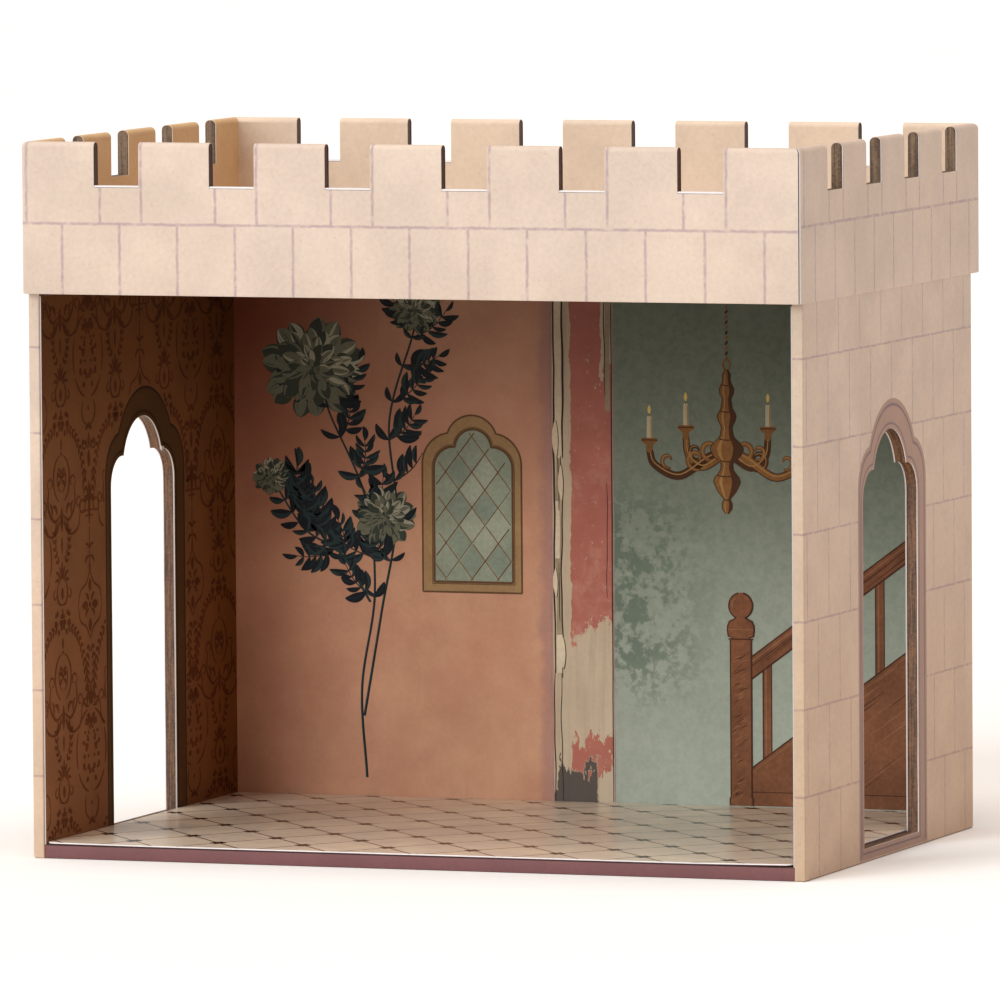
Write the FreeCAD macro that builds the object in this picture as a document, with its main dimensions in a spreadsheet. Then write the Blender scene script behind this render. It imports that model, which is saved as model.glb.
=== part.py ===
"""Cardboard castle: a folded room under a crenellated crown, in millimetres.

The front faces -Y, +X is to the right and +Z is up. The origin lies under the
middle of the crown's outline, on the surface that the castle stands on.
"""
import FreeCAD, Part
import math
import os

import Sketcher
from FreeCAD import Placement, Rotation, Vector

DRIVING_SIZES = {
    # crown: one board strip, folded over along its top and round three corners
    "crown_width": 330.0,
    "crown_depth": 235.0,
    "crown_height": 61.5,
    "crown_board": 5.0,
    "crown_fold_radius": 1.2,
    "merlon_fold_radius": 2.2,
    "corner_seam": 0.5,
    # crenels: the same die-cut pitch on all four sides
    "crenel_pitch": 49.6,
    "crenel_width": 19.35,
    "crenel_depth": 18.3,
    "front_crenel_count": 6,
    "side_crenel_count": 4,
    # walls: one board folded round the two back corners
    "wall_height": 229.0,
    "wall_board": 4.6,
    "wall_side_inset": 0.4,
    "wall_back_inset": 8.5,
    "wall_fold_radius": 2.5,
    # door: a trefoil head over straight jambs, the same in both side walls
    "door_width": 71.0,
    "door_setback": 75.3,
    "door_springing": 144.8,
    "door_lobe_radius": 12.5,
    "door_head_radius": 22.3,
    "door_apex": 172.4,
    # printed cards that line the room
    "wall_card": 0.6,
    "wall_card_front_inset": 0.8,
    "wall_card_top_gap": 1.2,
    # floor and roof
    "floor_board": 5.5,
    "floor_board_front_inset": 0.5,
    "floor_card": 0.8,
    "floor_card_front_inset": 0.6,
    "floor_card_play": 0.3,
    "floor_card_corner": 3.0,
    "roof_board": 5.0,
}

CUT_OVERRUN = 10.0
NEAR = 1e-4


class Size:
    """A length with its number and its formula, so that a sketch can start near its place."""

    def __init__(self, number, formula):
        self.number = float(number)
        self.formula = formula

    @staticmethod
    def of(value):
        """Take a size as it is, and a plain number as a constant."""
        return value if isinstance(value, Size) else Size(value, str(value))

    def join(self, sign, value, number):
        return Size(number, "({} {} {})".format(self.formula, sign, value.formula))

    def __add__(self, value):
        value = Size.of(value)
        return self.join("+", value, self.number + value.number)

    def __sub__(self, value):
        value = Size.of(value)
        return self.join("-", value, self.number - value.number)

    def __mul__(self, value):
        value = Size.of(value)
        return self.join("*", value, self.number * value.number)

    def __truediv__(self, value):
        value = Size.of(value)
        return self.join("/", value, self.number / value.number)

    def __neg__(self):
        return Size(-self.number, "(0 - {})".format(self.formula))


def make_sheet(document):
    """Write the driving sizes into a spreadsheet, one aliased cell each."""
    sheet = document.addObject("Spreadsheet::Sheet", "sizes")
    for row, (name, value) in enumerate(DRIVING_SIZES.items(), start=1):
        sheet.set("A{}".format(row), name)
        sheet.set("B{}".format(row), str(value))
        sheet.setAlias("B{}".format(row), name)
    document.recompute()
    return sheet


def size(name):
    """Return a driving size by its name."""
    return Size(getattr(sizes, name), "sizes." + name)


def new_body(label):
    """Start one piece of the castle as a body of its own."""
    body = doc.addObject("PartDesign::Body", label)
    body.Label = label
    pieces.append(body)
    return body


def new_sketch(body, name, role, offset=None):
    """Put an empty sketch on one of the body's origin planes, offset along its normal."""
    sketch = body.newObject("Sketcher::SketchObject", name)
    plane = next(item for item in body.Origin.OriginFeatures if item.Role == role)
    sketch.AttachmentSupport = [(plane, "")]
    sketch.MapMode = "FlatFace"
    if offset is not None:
        sketch.setExpression("AttachmentOffset.Base.z", offset.formula)
    return sketch


def pin(sketch, axis, line, point, place):
    """Hold one end of a line at a signed distance from the origin along X or Y."""
    if abs(place.number) < NEAR:
        reference = -2 if axis == "X" else -1
        sketch.addConstraint(Sketcher.Constraint("PointOnObject", line, point, reference))
        return
    kind = "Distance" + axis
    if place.number > 0:
        rule = Sketcher.Constraint(kind, -1, 1, line, point, place.number)
        formula = place.formula
    else:
        rule = Sketcher.Constraint(kind, line, point, -1, 1, -place.number)
        formula = (-place).formula
    number = sketch.addConstraint(rule)
    sketch.setExpression("Constraints[{}]".format(number), formula)


def square_outline(sketch, corners):
    """Draw a closed outline of upright and level lines, each placed by one distance."""
    first = sketch.GeometryCount
    count = len(corners)
    for index, (across, along) in enumerate(corners):
        next_across, next_along = corners[(index + 1) % count]
        sketch.addGeometry(Part.LineSegment(Vector(across.number, along.number, 0),
                                            Vector(next_across.number, next_along.number, 0)))
    for index in range(count):
        following = first + (index + 1) % count
        sketch.addConstraint(Sketcher.Constraint("Coincident", first + index, 2, following, 1))
    for index, (across, along) in enumerate(corners):
        line = first + index
        upright = abs(across.number - corners[(index + 1) % count][0].number) < NEAR
        sketch.addConstraint(Sketcher.Constraint("Vertical" if upright else "Horizontal", line))
        if upright:
            pin(sketch, "X", line, 1, across)
        else:
            pin(sketch, "Y", line, 1, along)


def box_corners(left, right, low, high):
    """Return the four corners of an upright rectangle, anticlockwise."""
    return [(left, low), (right, low), (right, high), (left, high)]


def pad(body, name, sketch, length):
    """Thicken a sketch along its plane's normal."""
    feature = body.newObject("PartDesign::Pad", name)
    feature.Profile = sketch
    feature.setExpression("Length", length.formula)
    return feature


def cut_through(body, name, sketch):
    """Cut a sketch through the whole body, to both sides of its plane."""
    feature = body.newObject("PartDesign::Pocket", name)
    feature.Profile = sketch
    feature.Type = "ThroughAll"
    feature.Midplane = True
    return feature


def row_of(body, name, feature, count, spacing):
    """Repeat a cut along its sketch's level axis."""
    doc.recompute()
    pattern = body.newObject("PartDesign::LinearPattern", name)
    pattern.Originals = [feature]
    pattern.Direction = (feature.Profile[0], ["H_Axis"])
    pattern.setExpression("Length", (spacing * (count - 1)).formula)
    pattern.setExpression("Occurrences", count.formula)
    body.Tip = pattern


def round_edges(body, name, base, radius, wanted):
    """Round those edges of a feature that the test picks out."""
    doc.recompute()
    names = ["Edge{}".format(number) for number, edge in enumerate(base.Shape.Edges, start=1)
             if wanted(edge)]
    fillet = body.newObject("PartDesign::Fillet", name)
    fillet.Base = (base, names)
    fillet.setExpression("Radius", radius.formula)
    return fillet


def is_upright(edge):
    """Tell whether an edge is a straight vertical line."""
    ends = [vertex.Point for vertex in edge.Vertexes]
    return len(ends) == 2 and (ends[0] - ends[1]).cross(Vector(0, 0, 1)).Length < NEAR


def is_at(edge, x=None, y=None, z=None):
    """Tell whether every end of an edge lies on the given planes."""
    for vertex in edge.Vertexes:
        for found, asked in zip(vertex.Point, (x, y, z)):
            if asked is not None and abs(found - asked) > NEAR:
                return False
    return True


def draw_trefoil(sketch, sill):
    """Draw the door: jambs, two side lobes that meet them smoothly, and a wider head."""
    middle = door_middle.number
    half = size("door_width").number / 2
    spring = size("door_springing").number
    lobe = size("door_lobe_radius").number
    head = size("door_head_radius").number
    head_height = size("door_apex").number - head
    lobe_across = half - lobe
    # the cusp is where a lobe and the head cross, above the line of their centres
    reach = math.hypot(lobe_across, head_height - spring)
    along = (lobe ** 2 - head ** 2 + reach ** 2) / (2 * reach)
    rise = math.sqrt(lobe ** 2 - along ** 2)
    toward = Vector(-lobe_across / reach, (head_height - spring) / reach, 0)
    square = Vector(-toward.y, toward.x, 0)
    if square.y < 0:
        square = -square
    cusp = Vector(lobe_across, spring, 0) + toward * along + square * rise

    def place(x, y):
        return Vector(middle + x, y, 0)

    def arc(centre, radius, start, end):
        circle = Part.Circle(centre, Vector(0, 0, 1), radius)
        return Part.ArcOfCircle(circle, circle.parameter(start), circle.parameter(end))

    low = sill.number
    right_cusp, left_cusp = place(cusp.x, cusp.y), place(-cusp.x, cusp.y)
    sill_line = sketch.addGeometry(Part.LineSegment(place(-half, low), place(half, low)))
    right_jamb = sketch.addGeometry(Part.LineSegment(place(half, low), place(half, spring)))
    right_lobe = sketch.addGeometry(arc(place(lobe_across, spring), lobe,
                                        place(half, spring), right_cusp))
    head_arc = sketch.addGeometry(arc(place(0, head_height), head, right_cusp, left_cusp))
    left_lobe = sketch.addGeometry(arc(place(-lobe_across, spring), lobe,
                                       left_cusp, place(-half, spring)))
    left_jamb = sketch.addGeometry(Part.LineSegment(place(-half, spring), place(-half, low)))

    rule = Sketcher.Constraint
    for name, *ends in (("Coincident", sill_line, 2, right_jamb, 1),
                        ("Tangent", right_jamb, 2, right_lobe, 1),
                        ("Coincident", right_lobe, 2, head_arc, 1),
                        ("Coincident", head_arc, 2, left_lobe, 1),
                        ("Tangent", left_lobe, 2, left_jamb, 1),
                        ("Coincident", left_jamb, 2, sill_line, 1),
                        ("Horizontal", sill_line),
                        ("Vertical", right_jamb),
                        ("Vertical", left_jamb)):
        sketch.addConstraint(rule(name, *ends))
    pin(sketch, "Y", sill_line, 1, sill)
    pin(sketch, "X", right_jamb, 1, door_middle + size("door_width") / 2)
    pin(sketch, "X", left_jamb, 1, door_middle - size("door_width") / 2)
    pin(sketch, "Y", right_jamb, 2, size("door_springing"))
    pin(sketch, "Y", left_jamb, 1, size("door_springing"))
    pin(sketch, "X", head_arc, 3, door_middle)
    pin(sketch, "Y", head_arc, 3, size("door_apex") - size("door_head_radius"))
    for curve, radius in ((right_lobe, "door_lobe_radius"), (left_lobe, "door_lobe_radius"),
                          (head_arc, "door_head_radius")):
        number = sketch.addConstraint(rule("Radius", curve, size(radius).number))
        sketch.setExpression("Constraints[{}]".format(number), size(radius).formula)


def cut_door(body, sill):
    """Die-cut the door through a piece that stands across the X axis."""
    sketch = new_sketch(body, "door_outline", "YZ_Plane")
    draw_trefoil(sketch, sill)
    body.Tip = cut_through(body, "door", sketch)


def make_wall_shell():
    """Left, back and right wall in one board, folded at the back corners, with two doors."""
    body = new_body("wall_shell")
    plan = new_sketch(body, "plan", "XY_Plane")
    square_outline(plan, [(-wall_outer, wall_front), (-wall_inner, wall_front),
                          (-wall_inner, back_inner), (wall_inner, back_inner),
                          (wall_inner, wall_front), (wall_outer, wall_front),
                          (wall_outer, back_outer), (-wall_outer, back_outer)])
    boards = pad(body, "boards", plan, size("wall_height"))
    round_edges(body, "back_folds", boards, size("wall_fold_radius"),
                lambda edge: is_upright(edge) and is_at(edge, y=back_outer.number))
    cut_door(body, size("floor_board"))


def make_battlement():
    """The crown: a strip folded into a ring, its top a fold, its crenels die-cut through."""
    body = new_body("battlement")
    body.setExpression("Placement.Base.z", "sizes.wall_height")
    height = size("crown_height")
    plan = new_sketch(body, "plan", "XY_Plane")
    square_outline(plan, box_corners(-crown_side, crown_side, -crown_front, crown_front))
    square_outline(plan, box_corners(-crown_inner, crown_inner, -crown_inner_front, crown_inner_front))
    ring = pad(body, "ring", plan, height)

    def is_folded_corner(edge):
        """Every outer corner but the front right one, where the strip's ends meet."""
        side, front = crown_side.number, crown_front.number
        return is_upright(edge) and (is_at(edge, x=-side) or is_at(edge, x=side, y=front))

    folds = round_edges(body, "corner_folds", ring, size("crown_fold_radius"), is_folded_corner)
    top = round_edges(body, "top_fold", folds, size("merlon_fold_radius"),
                      lambda edge: is_at(edge, z=height.number))

    low, high = height - size("crenel_depth"), height + CUT_OVERRUN
    width, pitch = size("crenel_width"), size("crenel_pitch")
    front_count, side_count = size("front_crenel_count"), size("side_crenel_count")
    front_start = (pitch * (front_count - 1) + width) / -2
    front = new_sketch(body, "front_crenel", "XZ_Plane")
    square_outline(front, box_corners(front_start, front_start + width, low, high))
    row_of(body, "front_crenels", cut_through(body, "front_cut", front), front_count, pitch)

    # the front board covers the side strips' ends, so their die-cuts start one board further back
    side_start = (pitch * (side_count - 1) + width) / -2 + size("crown_board") / 2
    side = new_sketch(body, "side_crenel", "YZ_Plane")
    square_outline(side, box_corners(side_start, side_start + width, low, high))
    row_of(body, "side_crenels", cut_through(body, "side_cut", side), side_count, pitch)

    seam = body.newObject("PartDesign::SubtractiveBox", "corner_seam")
    plane = next(item for item in body.Origin.OriginFeatures if item.Role == "XY_Plane")
    seam.AttachmentSupport = [(plane, "")]
    seam.MapMode = "FlatFace"
    seam.AttachmentOffset = Placement(Vector(), Rotation(Vector(0, 0, 1), 135))
    gap = size("corner_seam")
    # the seam runs along the corner's mitre, from outside the corner to inside it
    start_across = crown_side + (gap / 2 + CUT_OVERRUN) / ROOT_TWO
    start_along = (gap / 2 - CUT_OVERRUN) / ROOT_TWO - crown_front
    seam.setExpression("AttachmentOffset.Base.x", start_across.formula)
    seam.setExpression("AttachmentOffset.Base.y", start_along.formula)
    seam.setExpression("Length", (size("crown_board") * ROOT_TWO + 2 * CUT_OVERRUN).formula)
    seam.setExpression("Width", gap.formula)
    seam.setExpression("Height", height.formula)
    body.Tip = seam


def make_side_card(label, outer_face):
    """A printed card on the inside of one side wall, with the door cut through it."""
    body = new_body(label)
    face = new_sketch(body, "face", "YZ_Plane", offset=outer_face)
    square_outline(face, box_corners(wall_front + size("wall_card_front_inset"), back_card_face,
                                     size("floor_board"), card_top))
    pad(body, "card", face, size("wall_card"))
    cut_door(body, NOTHING)


def make_back_wall_card():
    """The printed card on the inside of the back wall."""
    body = new_body("back_wall_card")
    face = new_sketch(body, "face", "XZ_Plane", offset=-back_inner)
    square_outline(face, box_corners(-wall_inner, wall_inner, size("floor_board"), card_top))
    pad(body, "card", face, size("wall_card"))


def make_floor_board():
    """The covered board between the walls, which carries the floor card."""
    body = new_body("floor_board")
    plan = new_sketch(body, "plan", "XY_Plane")
    square_outline(plan, box_corners(-wall_inner, wall_inner,
                                     wall_front + size("floor_board_front_inset"), back_inner))
    pad(body, "board", plan, size("floor_board"))


def make_floor_card():
    """The tile-printed card on the floor board, its front corners rounded."""
    body = new_body("floor_card")
    side = wall_inner - size("wall_card") - size("floor_card_play")
    front = wall_front + size("floor_card_front_inset")
    plan = new_sketch(body, "plan", "XY_Plane", offset=size("floor_board"))
    square_outline(plan, box_corners(-side, side, front, back_card_face - size("floor_card_play")))
    card = pad(body, "card", plan, size("floor_card"))
    round_edges(body, "front_corners", card, size("floor_card_corner"),
                lambda edge: is_upright(edge) and is_at(edge, y=front.number))


def make_roof_board():
    """The board inside the crown: the room's ceiling and the terrace behind the merlons."""
    body = new_body("roof_board")
    plan = new_sketch(body, "plan", "XY_Plane", offset=size("wall_height"))
    square_outline(plan, box_corners(-crown_inner, crown_inner, -crown_inner_front, crown_inner_front))
    pad(body, "board", plan, size("roof_board"))


def check_document():
    """Stop if any object failed, or a piece isn't one valid solid."""
    doc.recompute()
    for item in doc.Objects:
        if "Invalid" in item.State or "Error" in item.State:
            raise RuntimeError("{} has failed: {}".format(item.Name, item.State))
    for piece in pieces:
        shape = piece.Shape
        if shape.isNull() or not shape.isValid() or len(shape.Solids) != 1:
            raise RuntimeError("{} isn't one valid solid".format(piece.Label))


def export_pieces():
    """Write each piece to its own file and print its box and volume."""
    os.makedirs("parts", exist_ok=True)
    for piece in pieces:
        box = piece.Shape.BoundBox
        print("{:16s} {:6.1f} x {:6.1f} x {:6.1f}, volume {:9.1f}".format(
            piece.Label, box.XLength, box.YLength, box.ZLength, piece.Shape.Volume))
        piece.Shape.exportStep("parts/{}.step".format(piece.Label))


doc = FreeCAD.newDocument("cardboard_castle")
sizes = make_sheet(doc)
pieces = []

NOTHING = Size(0, "0")
ROOT_TWO = math.sqrt(2)

# planes that several pieces share
crown_side = size("crown_width") / 2
crown_front = size("crown_depth") / 2
crown_inner = crown_side - size("crown_board")
crown_inner_front = crown_front - size("crown_board")
wall_outer = crown_side - size("wall_side_inset")
wall_inner = wall_outer - size("wall_board")
wall_front = -crown_inner_front
back_outer = crown_front - size("wall_back_inset")
back_inner = back_outer - size("wall_board")
back_card_face = back_inner - size("wall_card")
card_top = size("wall_height") - size("wall_card_top_gap")
door_middle = wall_front + size("door_setback") + size("door_width") / 2

make_wall_shell()
make_floor_board()
make_floor_card()
make_side_card("left_wall_card", -wall_inner)
make_side_card("right_wall_card", wall_inner - size("wall_card"))
make_back_wall_card()
make_roof_board()
make_battlement()
check_document()
export_pieces()
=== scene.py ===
"""The looks of a cardboard castle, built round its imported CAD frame.

Every length below is in millimetres until Surface.piece turns it into metres. The castle
stands on z = 0, its open front faces -Y, and +X is to the right as seen from the front.
"""

import logging
import math
from dataclasses import dataclass, field, replace
from enum import Enum

import bmesh
import bpy
import numpy as np
from mathutils import Matrix, Vector

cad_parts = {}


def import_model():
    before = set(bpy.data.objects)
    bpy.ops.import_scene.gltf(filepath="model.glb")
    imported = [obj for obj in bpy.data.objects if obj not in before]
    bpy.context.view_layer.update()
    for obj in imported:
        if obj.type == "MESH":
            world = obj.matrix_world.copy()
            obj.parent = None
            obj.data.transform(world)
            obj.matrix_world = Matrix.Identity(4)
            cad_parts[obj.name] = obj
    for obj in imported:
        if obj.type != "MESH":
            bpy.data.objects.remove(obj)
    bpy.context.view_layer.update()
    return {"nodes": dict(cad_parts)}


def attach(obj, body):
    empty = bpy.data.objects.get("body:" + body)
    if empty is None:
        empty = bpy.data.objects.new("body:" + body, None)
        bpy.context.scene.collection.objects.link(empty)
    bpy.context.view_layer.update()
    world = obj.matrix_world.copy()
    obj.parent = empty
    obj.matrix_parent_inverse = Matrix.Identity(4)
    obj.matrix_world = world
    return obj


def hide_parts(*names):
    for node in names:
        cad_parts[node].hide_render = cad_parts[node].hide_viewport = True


LOG = logging.getLogger("castle")
MM = 0.001
SEED = 41
Array = np.ndarray
Colour = tuple[float, float, float]


def ink(red: int, green: int, blue: int) -> Colour:
    """A colour picked on a screen, as the linear numbers that a shader takes.

    Each channel c of 255 becomes ((c / 255 + 0.055) / 1.055) to the power 2.4.

    Args:
        red: Red, 0 to 255.
        green: Green, 0 to 255.
        blue: Blue, 0 to 255.

    Returns:
        The three linear channels.
    """
    return tuple(((c / 255 + 0.055) / 1.055) ** 2.4 for c in (red, green, blue))


def arc(centre: tuple[float, float], radius: float | tuple[float, float], start: float,
        stop: float, count: int) -> Array:
    """Points along a circle or an ellipse: centre + radius (cos a, sin a).

    Args:
        centre: The middle, in the plane's own two directions.
        radius: One radius, or one for each direction.
        start: First angle, in degrees.
        stop: Last angle, in degrees.
        count: How many points.

    Returns:
        The points, count by 2.
    """
    angle = np.radians(np.linspace(start, stop, count))
    return np.array(centre) + np.array(radius) * np.stack([np.cos(angle), np.sin(angle)], -1)


def line(first: tuple[float, ...], last: tuple[float, ...], count: int) -> Array:
    """Count points evenly spaced from first to last."""
    return np.linspace(np.array(first, float), np.array(last, float), count)


def bent_line(knots: list[tuple[float, float]], steps: int = 3) -> Array:
    """Straight spans between the knots, each cut into a few steps."""
    spans = [line(a, b, steps + 1)[:-1] for a, b in zip(knots, knots[1:])]
    return np.vstack([*spans, [knots[-1]]])


def smooth_path(knots: list[tuple[float, float]], count: int) -> Array:
    """A smooth curve through knots: each span is the cubic a + bt + ct^2 + dt^3 whose end
    slopes are half of the step between the knots on either side (Catmull and Rom's rule).

    Args:
        knots: The points that the curve passes.
        count: How many points to return, evenly spaced in the knots' numbering.

    Returns:
        The points, count by 2.
    """
    k = np.array(knots, float)
    k = np.vstack([2 * k[0] - k[1], k, 2 * k[-1] - k[-2]])
    place = np.linspace(0, len(knots) - 1, count)
    span = np.clip(place.astype(int), 0, len(knots) - 2)
    t = (place - span)[:, None]
    a, b, c, d = (k[span + i] for i in range(4))
    return 0.5 * (2 * b + (c - a) * t + (2 * a - 5 * b + 4 * c - d) * t**2
                  + (3 * b - a - 3 * c + d) * t**3)


@dataclass
class Surface:
    """One closed mesh gathered from grids of points."""

    name: str
    points: list[Array] = field(default_factory=list)
    prints: list[Array] = field(default_factory=list)
    faces: list[Array] = field(default_factory=list)
    finishes: list[Array] = field(default_factory=list)
    count: int = 0

    def grid(self, points: Array, finish: int | Array = 0, print_at: Array | None = None,
             wrap: bool = False) -> None:
        """Adds a grid of four-sided faces between neighbouring points.

        Args:
            points: The points, rows by columns by 3.
            finish: The number of the finish, one for all or one for each face.
            print_at: Where each point is on the printed sheet, rows by columns by 2.
            wrap: Whether the last column joins the first.
        """
        rows, columns = points.shape[:2]
        ids = self.count + np.arange(rows * columns).reshape(rows, columns)
        if wrap:
            ids = np.hstack([ids, ids[:, :1]])
        quads = np.stack([ids[:-1, :-1], ids[:-1, 1:], ids[1:, 1:], ids[1:, :-1]], -1)
        self.points.append(points.reshape(-1, 3))
        self.prints.append(np.zeros((rows * columns, 2)) if print_at is None
                           else print_at.reshape(-1, 2))
        self.faces.append(quads.reshape(-1, 4))
        self.finishes.append(np.broadcast_to(finish, quads.shape[:2]).reshape(-1))
        self.count += rows * columns

    def plate(self, front: Array, back: Array, finish: int | Array = 0, rear: int = 1,
              edge: int = 1) -> None:
        """Adds a closed plate between two grids of the same shape.

        Args:
            front: The grid that shows, rows by columns by 3.
            back: The grid behind it.
            finish: Finish of the front.
            rear: Finish of the back.
            edge: Finish of the four edges.
        """
        self.grid(front, finish)
        self.grid(back, rear)
        for side in (np.s_[0, :], np.s_[-1, :], np.s_[:, 0], np.s_[:, -1]):
            self.grid(np.stack([front[side], back[side]]), edge)

    def piece(self, finishes: list[bpy.types.Material], slot: str, *nodes: str,
              crease: float = 30.0) -> bpy.types.Object:
        """Makes the mesh and hands it to the frame.

        Args:
            finishes: The materials that the finish numbers mean.
            slot: The record's material slot. It is not used.
            nodes: The CAD nodes that the piece stands for.
            crease: Edges that turn by more than this many degrees stay sharp. With 0, every
                face is flat.

        Returns:
            The finished object, riding on the castle.
        """
        mesh = bpy.data.meshes.new(self.name)
        faces = np.concatenate(self.faces)
        mesh.from_pydata((np.concatenate(self.points) * MM).tolist(), [], faces.tolist())
        mesh.polygons.foreach_set("material_index",
                                  np.concatenate(self.finishes).astype(np.int32))
        layer = mesh.uv_layers.new(name="print")
        corners = np.empty(len(mesh.loops), np.int32)
        mesh.loops.foreach_get("vertex_index", corners)
        layer.uv.foreach_set("vector",
                             np.concatenate(self.prints)[corners].astype(np.float32).ravel())
        work = bmesh.new()
        work.from_mesh(mesh)
        bmesh.ops.remove_doubles(work, verts=work.verts, dist=2e-6)
        bmesh.ops.dissolve_degenerate(work, edges=work.edges, dist=1e-7)
        bmesh.ops.recalc_face_normals(work, faces=work.faces)
        work.to_mesh(mesh)
        work.free()
        if crease:
            mesh.shade_smooth()
            mesh.set_sharp_from_angle(angle=math.radians(crease))
        else:
            mesh.shade_flat()
        for finish in finishes:
            mesh.materials.append(finish)
        made = bpy.data.objects.new(self.name, mesh)
        bpy.context.scene.collection.objects.link(made)
        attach(made, "root")
        if nodes:
            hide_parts(*nodes)
        LOG.info("%s: %d faces", self.name, len(mesh.polygons))
        return made


# --- Finishes -------------------------------------------------------------------------


class Sheet:
    """The node tree of one material, with short calls for the nodes used here."""

    def __init__(self, name: str, roughness: float = 0.7, sheen: float = 0.0) -> None:
        """Starts a material with its shader.

        Args:
            name: The material's name.
            roughness: The shader's roughness.
            sheen: Weight of the shader's sheen, for the soft nap of paper.
        """
        self.material = bpy.data.materials.new(name)
        self.material.use_nodes = True
        self.tree = self.material.node_tree
        self.tree.nodes.clear()
        self.shader = self.tree.nodes.new("ShaderNodeBsdfPrincipled")
        self.shader.inputs["Roughness"].default_value = roughness
        self.shader.inputs["Sheen Weight"].default_value = sheen
        out = self.tree.nodes.new("ShaderNodeOutputMaterial")
        self.tree.links.new(self.shader.outputs[0], out.inputs["Surface"])
        self.place = self.tree.nodes.new("ShaderNodeTexCoord").outputs["Object"]

    def node(self, kind: str, inputs: dict[str | int, object],
             **settings: object) -> bpy.types.Node:
        """Adds a node and fills its sockets.

        Args:
            kind: The node's type, without its ShaderNode prefix.
            inputs: Socket to value, or to the socket that feeds it.
            settings: The node's own settings.

        Returns:
            The node.
        """
        made = self.tree.nodes.new("ShaderNode" + kind)
        for name, value in settings.items():
            setattr(made, name, value)
        for key, value in inputs.items():
            if isinstance(value, bpy.types.NodeSocket):
                self.tree.links.new(value, made.inputs[key])
            else:
                made.inputs[key].default_value = value
        return made

    def math(self, operation: str, *values: object) -> bpy.types.NodeSocket:
        """One step of arithmetic on numbers or sockets."""
        return self.node("Math", dict(enumerate(values)), operation=operation).outputs[0]

    def noise(self, scale: float, detail: float = 3.0, place: object = None,
              roughness: float = 0.55) -> bpy.types.NodeSocket:
        """Noise from 0 to 1, scale cells to a metre on Object coordinates."""
        return self.node("TexNoise", {"Vector": place or self.place, "Scale": scale,
                                      "Detail": detail, "Roughness": roughness}).outputs[0]

    def stretched(self, x: float, y: float, z: float) -> bpy.types.NodeSocket:
        """Object coordinates multiplied by x, y and z."""
        return self.node("Mapping", {"Vector": self.place, "Scale": (x, y, z)}).outputs[0]

    def axis(self, index: int) -> bpy.types.NodeSocket:
        """One Object coordinate, in metres: 0 for x, 1 for y, 2 for z."""
        return self.node("SeparateXYZ", {0: self.place}).outputs[index]

    def band(self, value: object, low: float, high: float) -> bpy.types.NodeSocket:
        """A smooth step of value, from 0 at low to 1 at high."""
        return self.node("MapRange", {0: value, 1: low, 2: high},
                         interpolation_type="SMOOTHSTEP").outputs[0]

    def mix(self, share: object, first: object, second: object,
            blend: str = "MIX") -> bpy.types.NodeSocket:
        """A blend of two colours, each a Colour or a socket."""
        first, second = ((*c, 1.0) if isinstance(c, tuple) else c for c in (first, second))
        return self.node("Mix", {0: share, 6: first, 7: second}, data_type="RGBA",
                         blend_type=blend).outputs[2]

    def painted_room_shade(self, shade: "Shade") -> bpy.types.NodeSocket:
        """The room's painted shade on a card's print: how much darker and browner it is at each
        place.

        On the back card it is v h, where v falls from 1 at z 105 mm to a half at the top,
        and h falls toward the left corner, most at the top. On a side card it falls in two
        steps toward the top, and toward the back corner.

        Args:
            shade: Which card.

        Returns:
            The colour to multiply the print by.
        """
        white, up = (1.0, 1.0, 1.0), self.axis(2)
        # Painted shade on the flowers: darker toward the top only.
        if shade is Shade.BOUGH:
            return self.mix(self.band(up, 0.080, 0.236), white, (0.46, 0.46, 0.44))
        if shade is Shade.BACK:
            # Painted shade on the back card: darker toward the top, darker and browner toward
            # the left corner.
            rise = self.band(up, 0.080, 0.236)
            corner = self.band(self.axis(0), -0.050, -0.162)
            share = self.math("MULTIPLY", corner, self.math("MULTIPLY_ADD", rise, 0.76, 0.30))
            tone = self.mix(rise, white, (0.38, 0.38, 0.38))
            side = self.mix(share, white, (0.38, 0.13, 0.03))
            return self.mix(1.0, tone, side, "MULTIPLY")
        # Painted shade on a side card: darker toward the top and toward the back corner.
        rear = self.mix(self.band(self.axis(1), 0.010, 0.104), white, (0.64, 0.50, 0.20))
        middle = self.mix(self.band(up, 0.040, 0.160), white, (0.82, 0.83, 0.80))
        high = self.mix(self.band(up, 0.135, 0.222), white, (0.50, 0.42, 0.24))
        return self.mix(1.0, self.mix(1.0, middle, high, "MULTIPLY"), rear, "MULTIPLY")

    def relief(self, height: object, depth: float) -> None:
        """Gives the shader bumps of that height map, depth metres deep."""
        bump = self.node("Bump", {"Height": height, "Distance": depth, "Strength": 1.0})
        self.tree.links.new(bump.outputs[0], self.shader.inputs["Normal"])

    def paint(self, colour: object) -> bpy.types.Material:
        """Sends a colour to the shader and returns the material."""
        self.tree.links.new(colour, self.shader.inputs["Base Color"])
        return self.material


class Shade(Enum):
    """Which of the room's cards a print is on, for the painted shade that darkens it toward the
    top and the corners.
    """

    NONE = "outside the room, or on its floor"
    BACK = "the back card"
    BOUGH = "the flowers on the back card, which stay grey in the corner"
    SIDE = "a side card"


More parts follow.
